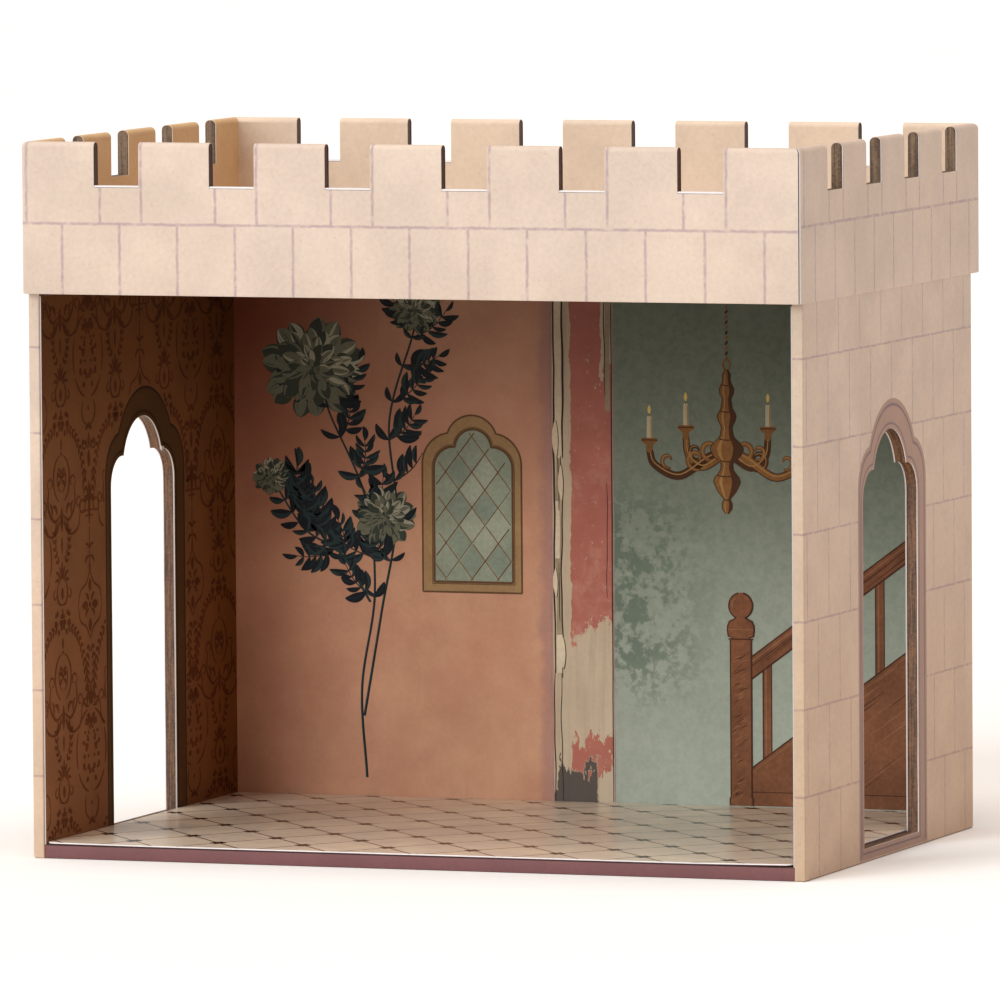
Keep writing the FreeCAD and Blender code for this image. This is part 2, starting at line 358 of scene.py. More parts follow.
@dataclass(frozen=True)
class Paper:
    """Matt paper with fibres, soft blotches and small flecks, and on the room's cards the room's
    painted shade.
    """

    name: str
    colour: Colour
    blotch: float = 0.06
    fleck: float = 0.10
    shade: Shade = Shade.NONE
    tooth: float = 0.00004
    roughness: float = 0.72

    def dress(self, sheet: Sheet, colour: object) -> bpy.types.NodeSocket:
        """Lays fibres, blotches and flecks over a colour, and on the room's cards the room's
        painted shade.

        Args:
            sheet: The material being made.
            colour: The print under them.

        Returns:
            The colour with them.
        """
        wide = sheet.band(sheet.noise(38.0, 4.0), 0.3, 0.7)
        fine = sheet.band(sheet.noise(520.0, 2.0), 0.25, 0.75)
        speck = sheet.band(sheet.noise(760.0, 1.0), 0.66, 0.78)
        toned = sheet.mix(wide, (1 - self.blotch,) * 3, (1 + self.blotch,) * 3)
        grained = sheet.mix(fine, (1 - self.blotch * 0.6,) * 3, (1 + self.blotch * 0.6,) * 3)
        out = sheet.mix(1.0, colour, toned, "MULTIPLY")
        out = sheet.mix(1.0, out, grained, "MULTIPLY")
        # Painted shade: the room's cards darken toward the top and the corners.
        if self.shade is not Shade.NONE:
            out = sheet.mix(1.0, out, sheet.painted_room_shade(self.shade), "MULTIPLY")
        marked = sheet.mix(1.0, out, (0.90, 0.72, 0.55), "MULTIPLY")
        sheet.relief(sheet.math("ADD", fine, sheet.noise(1900.0, 2.0)), self.tooth)
        return sheet.mix(sheet.math("MULTIPLY", speck, self.fleck * 4), out, marked)

    def material(self) -> bpy.types.Material:
        """Plain paper of one colour."""
        sheet = Sheet(self.name, self.roughness, 0.05 if self.shade is Shade.NONE else 0.0)
        if self.shade is not Shade.NONE:
            sheet.shader.inputs["Specular IOR Level"].default_value = 0.15
        return sheet.paint(self.dress(sheet, self.colour))


class Bond(Enum):
    """How the printed stones lie."""

    WALL = "courses of equal height, each joint over the middle of a stone"
    CROWN = "two courses, with joints under the crenels in the upper one"


@dataclass(frozen=True)
class StonePaper:
    """Paper printed as stone blocks, read from the piece's own print map in millimetres."""

    bond: Bond
    paper: Paper
    joint_tint: Colour = (0.71, 0.65, 0.78)
    joint_half: float = 0.70
    course: float = 34.77
    first_course: float = -1.37
    stone: float = 27.3
    stagger: float = 4.1
    crown_course: float = 257.6
    lower_first: float = 17.4
    crown_stone: float = 24.85
    crenel_pitch: float = 49.6
    under_crenel: tuple[float, float] = (33.9, 51.65)
    # Painted shade at the walls' foot: the paper there is darker and browner.
    foot_painted_shade: Colour = (0.95, 0.84, 0.73)

    def near(self, sheet: Sheet, value: object, target: float,
             period: float | None = None) -> bpy.types.NodeSocket:
        """How near a coordinate is to a joint, 1 on it and 0 a half width away.

        Args:
            sheet: The material being made.
            value: The coordinate.
            target: Where the joint is.
            period: The distance at which it repeats.

        Returns:
            The closeness.
        """
        gap = sheet.math("SUBTRACT", value, target)
        if period:
            gap = sheet.math("PINGPONG", sheet.math("ABSOLUTE", gap), period / 2)
        reach = sheet.math("DIVIDE", sheet.math("ABSOLUTE", gap), self.joint_half)
        return sheet.band(reach, 1.25, 0.35)

    def joints(self, sheet: Sheet) -> bpy.types.NodeSocket:
        """The mortar lines, 1 in a joint and 0 on a stone."""
        flat = sheet.node("UVMap", {}, uv_map="print").outputs[0]
        wander = sheet.node("TexNoise", {"Vector": flat, "Scale": 0.28, "Detail": 3.0})
        shift = sheet.node("VectorMath", {0: wander.outputs[1], 1: (0.5, 0.5, 0.5)},
                           operation="SUBTRACT").outputs[0]
        moved = sheet.node("VectorMath", {0: shift, 1: (0.9, 0.9, 0.0), 2: flat},
                           operation="MULTIPLY_ADD").outputs[0]
        if self.bond is Bond.WALL:
            laid = sheet.node("Mapping", {"Vector": moved,
                                          "Location": (-self.stagger, -self.first_course, 0)})
            brick = sheet.node("TexBrick", {"Vector": laid.outputs[0], "Scale": 1.0,
                                            "Mortar Size": self.joint_half,
                                            "Mortar Smooth": 0.75,
                                            "Brick Width": self.stone,
                                            "Row Height": self.course}, offset=0.5)
            return brick.outputs[1]
        parts = sheet.node("SeparateXYZ", {0: moved}).outputs
        upper = sheet.math("GREATER_THAN", parts[1], self.crown_course)
        low = self.near(sheet, parts[0], self.lower_first, self.crown_stone)
        high = sheet.math("MAXIMUM", *(self.near(sheet, parts[0], place, self.crenel_pitch)
                                       for place in self.under_crenel))
        stood = sheet.node("Mix", {0: upper, 2: low, 3: high}).outputs[0]
        return sheet.math("MAXIMUM", stood, self.near(sheet, parts[1], self.crown_course))

    def material(self, name: str) -> bpy.types.Material:
        """The printed paper: its stones, faint tone changes and mortar lines.

        The walls' paper has painted shade toward the foot: darker and browner low down, where
        less light comes up from the floor.
        """
        sheet = Sheet(name, self.paper.roughness, 0.05)
        faded = sheet.band(sheet.noise(300.0, 3.0), 0.15, 0.6)
        lines = sheet.math("MULTIPLY", self.joints(sheet), faded)
        tint = sheet.mix(lines, (1.0, 1.0, 1.0), self.joint_tint)
        stone = sheet.mix(sheet.noise(14.0, 2.0), self.paper.colour,
                          tuple(c * t for c, t in zip(self.paper.colour, (1.03, 1.0, 0.95))))
        if self.bond is Bond.WALL:
            # Painted shade: the walls darken and brown toward the foot.
            stone = sheet.mix(1.0, stone, sheet.mix(sheet.band(sheet.axis(2), 0.235, 0.0),
                                                    (1.0, 0.98, 0.97), self.foot_painted_shade), "MULTIPLY")
        return sheet.paint(self.paper.dress(sheet, sheet.mix(1.0, stone, tint, "MULTIPLY")))


@dataclass(frozen=True)
class RawBoard:
    """The cut edge of greyboard: pressed layers, loose fibres and small pits."""

    name: str
    pale: Colour
    dark: Colour
    layers: tuple[float, float, float]

    def material(self) -> bpy.types.Material:
        """Stretched noise for the layers, with fibre and pits over it."""
        sheet = Sheet(self.name, 0.55)
        layer = sheet.noise(1.0, 3.0, sheet.stretched(*self.layers))
        fuzz = sheet.noise(900.0, 4.0)
        both = sheet.math("ADD", sheet.math("MULTIPLY", layer, 0.65),
                          sheet.math("MULTIPLY", fuzz, 0.35))
        tone = sheet.mix(sheet.band(both, 0.36, 0.64), self.dark, self.pale)
        sheet.relief(both, 0.0003)
        return sheet.paint(tone)


@dataclass(frozen=True)
class TileCard:
    """Semi-gloss card printed as pale tiles laid cornerwise, with dark cabochons.

    Each row of the warp gives a place on the print, in tiles, as the sum of its numbers
    times 1, x, y, xy, y^2 and x^2 in metres.
    """

    name: str = "tile_print"
    warp: tuple[tuple[float, ...], ...] = ((0.640, 26.90, 0.476, -4.86, -7.99, -1.60),
                                           (2.288, 2.196, 27.196, 18.64, 26.13, 7.17))
    cabochon: float = 0.103
    pale: Colour = ink(242, 219, 190)
    cool: Colour = ink(218, 199, 180)
    dark: Colour = ink(46, 24, 12)
    joint: Colour = ink(88, 60, 42)

    def place(self, sheet: Sheet, row: tuple[float, ...]) -> bpy.types.NodeSocket:
        """One print coordinate, by the sum that the class describes."""
        x, y = sheet.axis(0), sheet.axis(1)
        powers = (x, y, sheet.math("MULTIPLY", x, y), sheet.math("MULTIPLY", y, y),
                  sheet.math("MULTIPLY", x, x))
        total = row[0]
        for number, power in zip(row[1:], powers):
            total = sheet.math("MULTIPLY_ADD", power, number, total)
        return total

    def material(self) -> bpy.types.Material:
        """Cabochons stand where both folded coordinates are near 0 or both near a half.

        With a = |u - nearest whole number| and b the same of v, the joints are the lines
        a = b, and the cabochons lie where two of them meet.
        """
        sheet = Sheet(self.name, 0.27)
        sheet.shader.inputs["Specular IOR Level"].default_value = 0.45
        folded = [sheet.math("PINGPONG", self.place(sheet, row), 0.5) for row in self.warp]
        across = sheet.math("ADD", *folded)
        level = sheet.math("ABSOLUTE", sheet.math("SUBTRACT", *folded))
        wander = sheet.math("MULTIPLY_ADD", sheet.noise(160.0, 2.0), 0.012, -0.006)
        ruled = sheet.band(sheet.math("ADD", level, wander), 0.026, 0.012)
        corner = sheet.math("MINIMUM", across, sheet.math("SUBTRACT", 1.0, across))
        jewel = sheet.band(corner, self.cabochon + 0.008, self.cabochon)
        worn = sheet.band(sheet.noise(70.0, 4.0), 0.3, 0.7)
        cloud = sheet.mix(worn, self.cool, self.pale)
        ground = sheet.mix(sheet.math("MULTIPLY", sheet.band(sheet.noise(9.0, 2.0), 0.3, 0.7),
                                      0.5), cloud, self.cool)
        ruled = sheet.math("MULTIPLY", ruled, sheet.band(sheet.noise(240.0, 2.0), 0.1, 0.5))
        lined = sheet.mix(ruled, ground, self.joint)
        sheet.relief(sheet.noise(700.0, 3.0), 0.00002)
        return sheet.paint(sheet.mix(jewel, lined, self.dark))


@dataclass(frozen=True)
class MuralCard:
    """The back wall's print: a plaster wall, a weathered upright and a green wall."""

    name: str = "mural_print"
    upright: tuple[float, float] = (-0.0176, 0.0089)
    salmon: Colour = ink(219, 165, 131)
    salmon_deep: Colour = ink(206, 147, 117)
    mauve: Colour = ink(170, 124, 116)
    cream: Colour = ink(206, 184, 156)
    grey_wood: Colour = ink(190, 166, 138)
    old_red: Colour = ink(196, 118, 100)
    deep_red: Colour = ink(172, 98, 82)
    pink_red: Colour = ink(214, 158, 138)
    grime: Colour = ink(74, 64, 62)
    red_left: float = -0.0098
    red_foot: float = 0.0790
    patch: tuple[float, float] = (0.0190, 0.0330)
    green_high: Colour = ink(130, 139, 121)
    green_low: Colour = ink(174, 178, 162)
    leaf_green: Colour = ink(86, 104, 88)
    # Fibres, blotches and flecks, and the back card's painted shade.
    fibre_and_painted_shade: Paper = Paper("", (0, 0, 0), 0.04, 0.03, Shade.BACK)

    def plaster(self, sheet: Sheet) -> bpy.types.NodeSocket:
        """Salmon plaster: clouds of two tones, brush streaks and stains by the upright."""
        cloud = sheet.band(sheet.noise(22.0, 5.0, roughness=0.62), 0.32, 0.68)
        streak = sheet.noise(1.0, 3.0, sheet.stretched(160.0, 1.0, 34.0))
        tone = sheet.mix(cloud, self.salmon_deep, self.salmon)
        tone = sheet.mix(sheet.math("MULTIPLY", sheet.band(streak, 0.5, 0.75), 0.22), tone,
                         self.salmon_deep)
        rough = sheet.math("MULTIPLY", sheet.math("SUBTRACT", sheet.noise(90.0, 4.0), 0.5),
                           0.010)
        beside = sheet.band(sheet.math("ADD", sheet.axis(0), rough), -0.0255, -0.0205)
        tone = sheet.mix(sheet.math("MULTIPLY", beside, 0.60), tone, self.mauve)
        speck = sheet.band(sheet.noise(420.0, 2.0), 0.70, 0.78)
        return sheet.mix(sheet.math("MULTIPLY", speck, 0.5), tone, self.salmon_deep)

    def timber(self, sheet: Sheet) -> bpy.types.NodeSocket:
        """Pale wood under old red paint, which ends raggedly about 90 mm up.

        The red is left above that edge and in a low patch, grime covers the foot, and
        chips and upright scrapes bare the wood.
        """
        grain = sheet.noise(1.0, 4.0, sheet.stretched(300.0, 1.0, 20.0))
        wood = sheet.mix(sheet.band(grain, 0.2, 0.6), self.grey_wood, self.cream)
        ragged = sheet.noise(1.0, 6.0, sheet.stretched(150.0, 1.0, 60.0), 0.68)
        level = sheet.math("MULTIPLY_ADD", sheet.math("SUBTRACT", ragged, 0.5), 0.060,
                           sheet.axis(2))
        upper = sheet.band(level, self.red_foot, self.red_foot + 0.0010)
        patch = sheet.math("MULTIPLY", sheet.band(level, self.patch[0], self.patch[0] + 0.0008),
                           sheet.band(level, self.patch[1], self.patch[1] - 0.0008))
        edge = sheet.math("MULTIPLY_ADD", sheet.math("SUBTRACT", ragged, 0.5), 0.006,
                          sheet.axis(0))
        strip = sheet.math("MULTIPLY", sheet.band(edge, 0.0035, 0.0040),
                           sheet.band(level, 0.186, 0.187))
        inside = sheet.math("MULTIPLY", sheet.band(edge, self.red_left, self.red_left + 0.0003),
                            sheet.math("SUBTRACT", 1.0, strip))
        chipped = sheet.band(sheet.noise(300.0, 6.0, roughness=0.75), 0.60, 0.68)
        worn = sheet.band(sheet.noise(46.0, 5.0, roughness=0.7), 0.52, 0.72)
        left_over = sheet.math("MULTIPLY", sheet.math("MAXIMUM", upper, patch), inside)
        red = sheet.mix(sheet.noise(130.0, 5.0), self.old_red, self.deep_red)
        red = sheet.mix(sheet.math("MULTIPLY", worn, 0.45), red, self.pink_red)
        painted = sheet.mix(sheet.math("MULTIPLY", left_over, sheet.math(
            "MULTIPLY_ADD", chipped, -0.8, 1.0)), wood, red)
        dark = sheet.math("MULTIPLY", sheet.band(level, self.patch[0], self.patch[0] - 0.0010),
                          sheet.band(edge, 0.0022, 0.0012))
        return sheet.mix(sheet.math("MULTIPLY", dark, 0.92), painted, self.grime)

    def garden_wall(self, sheet: Sheet) -> bpy.types.NodeSocket:
        """Green limewash, darker high up, with soft leafy shade in its lower left."""
        lift = sheet.band(sheet.math("ADD", sheet.axis(2),
                                     sheet.math("MULTIPLY", sheet.noise(18.0, 3.0), 0.05)),
                          0.200, 0.02)
        tone = sheet.mix(lift, self.green_high, self.green_low)
        mottle = sheet.band(sheet.noise(240.0, 6.0, roughness=0.7), 0.42, 0.60)
        rise = sheet.band(sheet.axis(2), 0.060, 0.170)
        tone = sheet.mix(sheet.math("MULTIPLY", mottle,
                                    sheet.math("MULTIPLY_ADD", rise, 0.16, 0.12)), tone,
                         self.leaf_green)
        across = sheet.band(sheet.axis(0), 0.066, 0.018)
        up = sheet.math("MULTIPLY", sheet.band(sheet.axis(2), 0.034, 0.070),
                        sheet.band(sheet.axis(2), 0.150, 0.118))
        shade = sheet.math("MULTIPLY", sheet.math("MULTIPLY", across, up),
                           sheet.band(sheet.math("ADD", sheet.noise(62.0, 3.0),
                                                 sheet.noise(330.0, 6.0, roughness=0.75)),
                                      0.96, 1.10))
        return sheet.mix(sheet.math("MULTIPLY", shade, 0.72), tone, self.leaf_green)

    def material(self) -> bpy.types.Material:
        """The three fields side by side, on paper, under the back card's painted shade."""
        sheet = Sheet(self.name, 0.62)
        sheet.shader.inputs["Specular IOR Level"].default_value = 0.25
        past_left = sheet.math("GREATER_THAN", sheet.axis(0), self.upright[0])
        past_right = sheet.math("GREATER_THAN", sheet.axis(0), self.upright[1])
        tone = sheet.mix(past_left, self.plaster(sheet), self.timber(sheet))
        tone = sheet.mix(past_right, tone, self.garden_wall(sheet))
        return sheet.paint(self.fibre_and_painted_shade.dress(sheet, tone))


@dataclass(frozen=True)
class Palette:
    """Every finish of the castle, made once."""

    tan: Colour = (0.630, 0.500, 0.412)
    lining: Colour = (0.690, 0.530, 0.398)

    def __post_init__(self) -> None:
        """Makes the materials and keeps them by name."""
        tan = Paper("tan_paper", self.tan)
        # Papers on the room's cards take its painted shade; the flowers take it only toward the
        # top.
        back, side, none, grey = Shade.BACK, Shade.SIDE, Shade.NONE, Shade.BOUGH
        papers = {
            "edge_white": ((232, 224, 222), 0.05, none),
            "card_edge": ((196, 184, 178), 0.05, none),
            "kraft": ((218, 178, 130), 0.06, none),
            "plum": ((115, 70, 70), 0.07, none),
            "plum_shadow": ((84, 54, 52), 0.07, none),
            "rim_pink": ((168, 134, 116), 0.05, none),
            "rim_line": ((128, 100, 102), 0.06, none),
            "damask_ground": ((144, 95, 62), 0.08, side),
            "damask_ink": ((104, 57, 30), 0.20, side),
            "olive": ((96, 66, 38), 0.06, side),
            "olive_line": ((56, 38, 22), 0.06, side),
            "window_frame": ((176, 140, 98), 0.12, back),
            "window_line": ((112, 80, 54), 0.10, back),
            "window_glass": ((158, 166, 146), 0.14, back),
            "window_lead": ((138, 108, 74), 0.12, back),
            "glass_pale": ((172, 178, 158), 0.14, back),
            "glass_dark": ((146, 157, 139), 0.14, back),
            "stair_wood": ((126, 80, 54), 0.22, back),
            "stair_line": ((78, 46, 32), 0.08, back),
            "stair_light": ((148, 100, 70), 0.12, back),
            "gilt": ((148, 102, 58), 0.20, back),
            "gilt_dark": ((84, 54, 34), 0.10, back),
            "gilt_light": ((186, 140, 84), 0.08, back),
            "candle": ((206, 194, 162), 0.05, back),
            "flame": ((240, 212, 120), 0.03, back),
            "leaf_dark": ((30, 34, 40), 0.14, grey),
            "leaf_mid": ((46, 62, 62), 0.14, grey),
            "petal_dark": ((66, 72, 62), 0.10, grey),
            "petal_mid": ((118, 118, 98), 0.12, grey),
            "petal_light": ((176, 172, 150), 0.08, grey),
            "twig": ((60, 50, 46), 0.10, grey),
            "lath_pale": ((226, 206, 176), 0.10, back),
            "lath_gap": ((60, 46, 40), 0.10, back),
            "lath_grey": ((168, 150, 122), 0.12, back),
            "mauve_line": ((178, 142, 138), 0.10, back),
        }
        made = {name: Paper(name, ink(*tone), blotch, 0.04, shade).material()
                for name, (tone, blotch, shade) in papers.items()}
        made |= {
            "wall_stone": StonePaper(Bond.WALL, tan).material("wall_stone"),
            # A darker, browner copy of the wall paper: painted shade on the right wall's front
            # edge.
            "fold_stone": StonePaper(Bond.WALL, replace(tan, colour=tuple(
                c * s for c, s in zip(self.tan, (0.86, 0.85, 0.80))))).material("fold_stone"),
            "crown_stone": StonePaper(Bond.CROWN, tan).material("crown_stone"),
            "tan": tan.material(),
            "lining": Paper("lining_paper", self.lining).material(),
            "door_core": RawBoard("door_core", ink(126, 86, 54), ink(64, 38, 22),
                                  (1500.0, 60.0, 60.0)).material(),
            "crown_core": RawBoard("crown_core", ink(130, 102, 74), ink(70, 48, 33),
                                   (900.0, 900.0, 30.0)).material(),
            # A darker copy of the crown's board: painted shade on the front and back merlons'
            # cut faces and in the seam.
            "crown_core_dark": RawBoard("crown_core_dark", ink(88, 52, 40), ink(40, 23, 17),
                                        (900.0, 900.0, 30.0)).material(),
            "tiles": TileCard().material(),
            "mural": MuralCard().material(),
        }
        object.__setattr__(self, "made", made)

    def __getitem__(self, name: str) -> bpy.types.Material:
        """The material of that name."""
        return self.made[name]


# --- Shapes shared by several pieces --------------------------------------------------


@dataclass(frozen=True)
class Arch:
    """A three-lobed arch: two side lobes and a round head, on straight jambs."""

    middle: float
    half: float
    springing: float
    lobe_out: float
    lobe: float
    head: float
    head_centre: float

    def grown(self, by: float) -> "Arch":
        """The arch that runs outside this one at an even distance."""
        return replace(self, half=self.half + by, lobe=self.lobe + by, head=self.head + by)

    def cusp(self) -> tuple[float, float]:
        """Where the right lobe meets the head: the upper point that two circles share.

        Along the line between the centres, it is (d^2 + lobe^2 - head^2) / 2d from the
        lobe's centre, and off that line by Pythagoras.

        Returns:
            Its distance from the arch's middle, and its height.
        """
        centre = np.array([self.lobe_out, self.springing])
        toward = np.array([0.0, self.head_centre]) - centre
        gap = np.hypot(*toward)
        toward = toward / gap
        along = (gap**2 + self.lobe**2 - self.head**2) / (2 * gap)
        off = math.sqrt(max(self.lobe**2 - along**2, 0.0))
        point = centre + along * toward + off * np.array([toward[1], -toward[0]])
        other = centre + along * toward - off * np.array([toward[1], -toward[0]])
        best = point if point[1] > other[1] else other
        return float(best[0]), float(best[1])

    def outline(self, foot: float, jamb: int = 10, lobe: int = 10, head: int = 12) -> Array:
        """The arch's line from its left foot over to its right foot.

        Args:
            foot: Height of both feet.
            jamb: Steps up a jamb.
            lobe: Steps round a lobe.
            head: Steps round half of the head.

        Returns:
            The points, 2 (jamb + lobe + head) + 1 by 2.
        """
        p, z = self.cusp()
        turn = math.degrees(math.atan2(z - self.springing, p - self.lobe_out))
        rise = math.degrees(math.atan2(z - self.head_centre, p))
        right = np.vstack([
            line((self.half, foot), (self.half, self.springing), jamb + 1)[:-1],
            arc((self.lobe_out, self.springing), self.lobe, 0, turn, lobe + 1)[:-1],
            arc((0, self.head_centre), self.head, rise, 90, head + 1),
        ])
        left = right[:-1] * (-1, 1)
        return np.vstack([left, right[::-1]]) + (self.middle, 0)


DOOR = Arch(-1.7, 35.5, 144.8, 23.0, 12.5, 22.3, 150.1)
DOOR_SURROUND = Arch(0.8, 44.4, 149.3, 26.4, 18.0, 33.5, 151.0)
DOOR_SILL = 5.5


def frame_outline(low: float, high: float, foot: float, top: float, rows: Array,
                  across: int) -> Array:
    """A rectangle's left side, top and right side, as points that pair with an arch's.

    Args:
        low: The left side's place.
        high: The right side's place.
        foot: Height of both feet.
        top: Height of the top.
        rows: The sides' heights as shares from foot to top, the first 0 and the last 1.
        across: Steps along the top.

    Returns:
        The points from the left foot over to the right foot.
    """
    z = foot + (top - foot) * rows
    left = np.stack([np.full_like(z, low), z], -1)
    right = np.stack([np.full_like(z, high), z], -1)[::-1]
    return np.vstack([left[:-1], line((low, top), (high, top), across + 1), right[1:]])


SIDE_ROWS = np.concatenate([np.linspace(0, 0.63, 11), np.linspace(0.72, 1.0, 4)])
TOP_STEPS = 36


class Plane(Enum):
    """The face that a drawing lies on, as its surface's place and the way it faces."""

    LEFT = (-159.4, 1.0)
    RIGHT = (159.4, -1.0)
    BACK = (103.8, -1.0)

    def lay(self, flat: Array, lift: float | Array) -> Array:
        """Places flat points on the plane.

        Args:
            flat: Points along the wall and up it, with 2 as the last axis.
            lift: How far each stands off the paper into the room.

        Returns:
            The points in space, with 3 as the last axis.
        """
        at, facing = self.value
        off = np.broadcast_to(at + facing * np.asarray(lift, float), flat.shape[:-1])
        order = (flat[..., 0], off, flat[..., 1]) if self is Plane.BACK else (
            off, flat[..., 0], flat[..., 1])
        return np.stack(order, -1)


@dataclass
class Drawing:
    """Flat shapes of ink on one plane, each a strip between two edges."""

    plane: Plane
    surface: Surface
    bed: float = -0.02
    layer: float = 2.6
    step: float = 0.0031
    steps: int = 9
    laid: int = 0

    def strip(self, left: Array, right: Array, finish: int = 0, lift: float = 0.03) -> None:
        """Adds one closed strip, as thin as ink.

        Neighbours in the order of drawing never share a height or a depth, so that strips
        that cross don't fight for one plane and each stays a closed shell of its own.

        Args:
            left: One edge's points, n by 2.
            right: The other edge's points, n by 2.
            finish: The finish's number.
            lift: The layer that the ink is in, higher over lower.
        """
        step = self.step * (self.laid % self.steps)
        lift, bed = self.layer * lift + step, self.bed - step
        self.laid += 1
        rows = np.stack([self.plane.lay(left, lift), self.plane.lay(right, lift),
                         self.plane.lay(right, bed), self.plane.lay(left, bed)], 1)
        self.surface.grid(rows, finish, wrap=True)
        for end in (0, -1):
            self.surface.grid(rows[end][[[0, 1], [3, 2]]], finish)

    def stroke(self, path: Array, width: float | Array, finish: int = 0,
               lift: float = 0.03) -> None:
        """Adds a brush stroke: the strip half a width to each side of a path.

        Args:
            path: The middle line, n by 2.
            width: The full width, one or n of them.
            finish: The finish's number.
            lift: How far the ink stands off the paper.
        """
        way = np.gradient(path, axis=0)
        way = way / np.maximum(np.hypot(way[:, 0], way[:, 1]), 1e-9)[:, None]
        side = np.stack([-way[:, 1], way[:, 0]], -1) * (np.broadcast_to(width, len(path))
                                                        / 2)[:, None]
        self.strip(path + side, path - side, finish, lift)


def swell(count: int, width: float, power: float = 0.7) -> Array:
    """Widths of a leaf or a pen stroke: width times sin(pi t) to a power."""
    return width * np.sin(np.pi * np.linspace(0.02, 0.98, count)) ** power


def taper(count: int, first: float, last: float) -> Array:
    """Widths that change evenly from first to last."""
    return np.linspace(first, last, count)


def slab(surface: Surface, outline: Array, profile: list[tuple[float, float]],
         rings: tuple[float, ...], finish_top: int, finish_edge: int | Array,
         finish_under: int,
         lay=lambda flat, height: np.concatenate([flat, height[..., None]], -1)) -> None:
    """A plate with a shaped edge: its outline shrunk step by step to a middle point.

    Each ring is the outline moved in by an amount along its corner direction, and the two
    faces are the last rings scaled about the outline's middle by the shares in rings.

    Args:
        surface: The mesh to add to.
        outline: The outline's points, n by 2, not closed.
        profile: The edge from the top round to the underside, as (inset, height).
        rings: Shares from 1 down to 0 for the faces.
        finish_top: Finish of the face at the profile's start.
        finish_edge: Finish of the edge, one or one for each step of the profile.
        finish_under: Finish of the face at the profile's end.
        lay: Places flat points and heights in space.
    """
    middle = (outline.max(0) + outline.min(0)) / 2
    reach = (outline.max(0) - outline.min(0)) / 2

    def ring(inset: float, share: float, height: float) -> Array:
        """One ring of the plate."""
        flat = middle + (outline - middle) * ((reach - inset) / reach) * share
        return lay(flat, np.full(len(flat), float(height)))

    surface.grid(np.stack([ring(inset, 1.0, z) for inset, z in profile]), finish_edge,
                 wrap=True)
    for (inset, z), finish in ((profile[0], finish_top), (profile[-1], finish_under)):
        surface.grid(np.stack([ring(inset, share, z) for share in rings]), finish, wrap=True)


def rounded_box(low: tuple[float, float], high: tuple[float, float],
                corners: tuple[float, float], steps: int = 6) -> Array:
    """A rectangle's outline with rounded corners.

    Args:
        low: Its least corner.
        high: Its greatest corner.
        corners: Radius of the two corners at the low second coordinate, then at the high.
        steps: Steps round each corner.

    Returns:
        The points, going round once, with a few on each side.
    """
    near, far = corners
    parts = [arc((high[0] - near, low[1] + near), near, -90, 0, steps + 1),
             arc((high[0] - far, high[1] - far), far, 0, 90, steps + 1),
             arc((low[0] + far, high[1] - far), far, 90, 180, steps + 1),
             arc((low[0] + near, low[1] + near), near, 180, 270, steps + 1)]
    sides = [line(a[-1], b[0], 9)[1:-1] for a, b in zip(parts, parts[1:] + parts[:1])]
    return np.vstack([piece for pair in zip(parts, sides) for piece in pair])


# --- The castle's pieces --------------------------------------------------------------


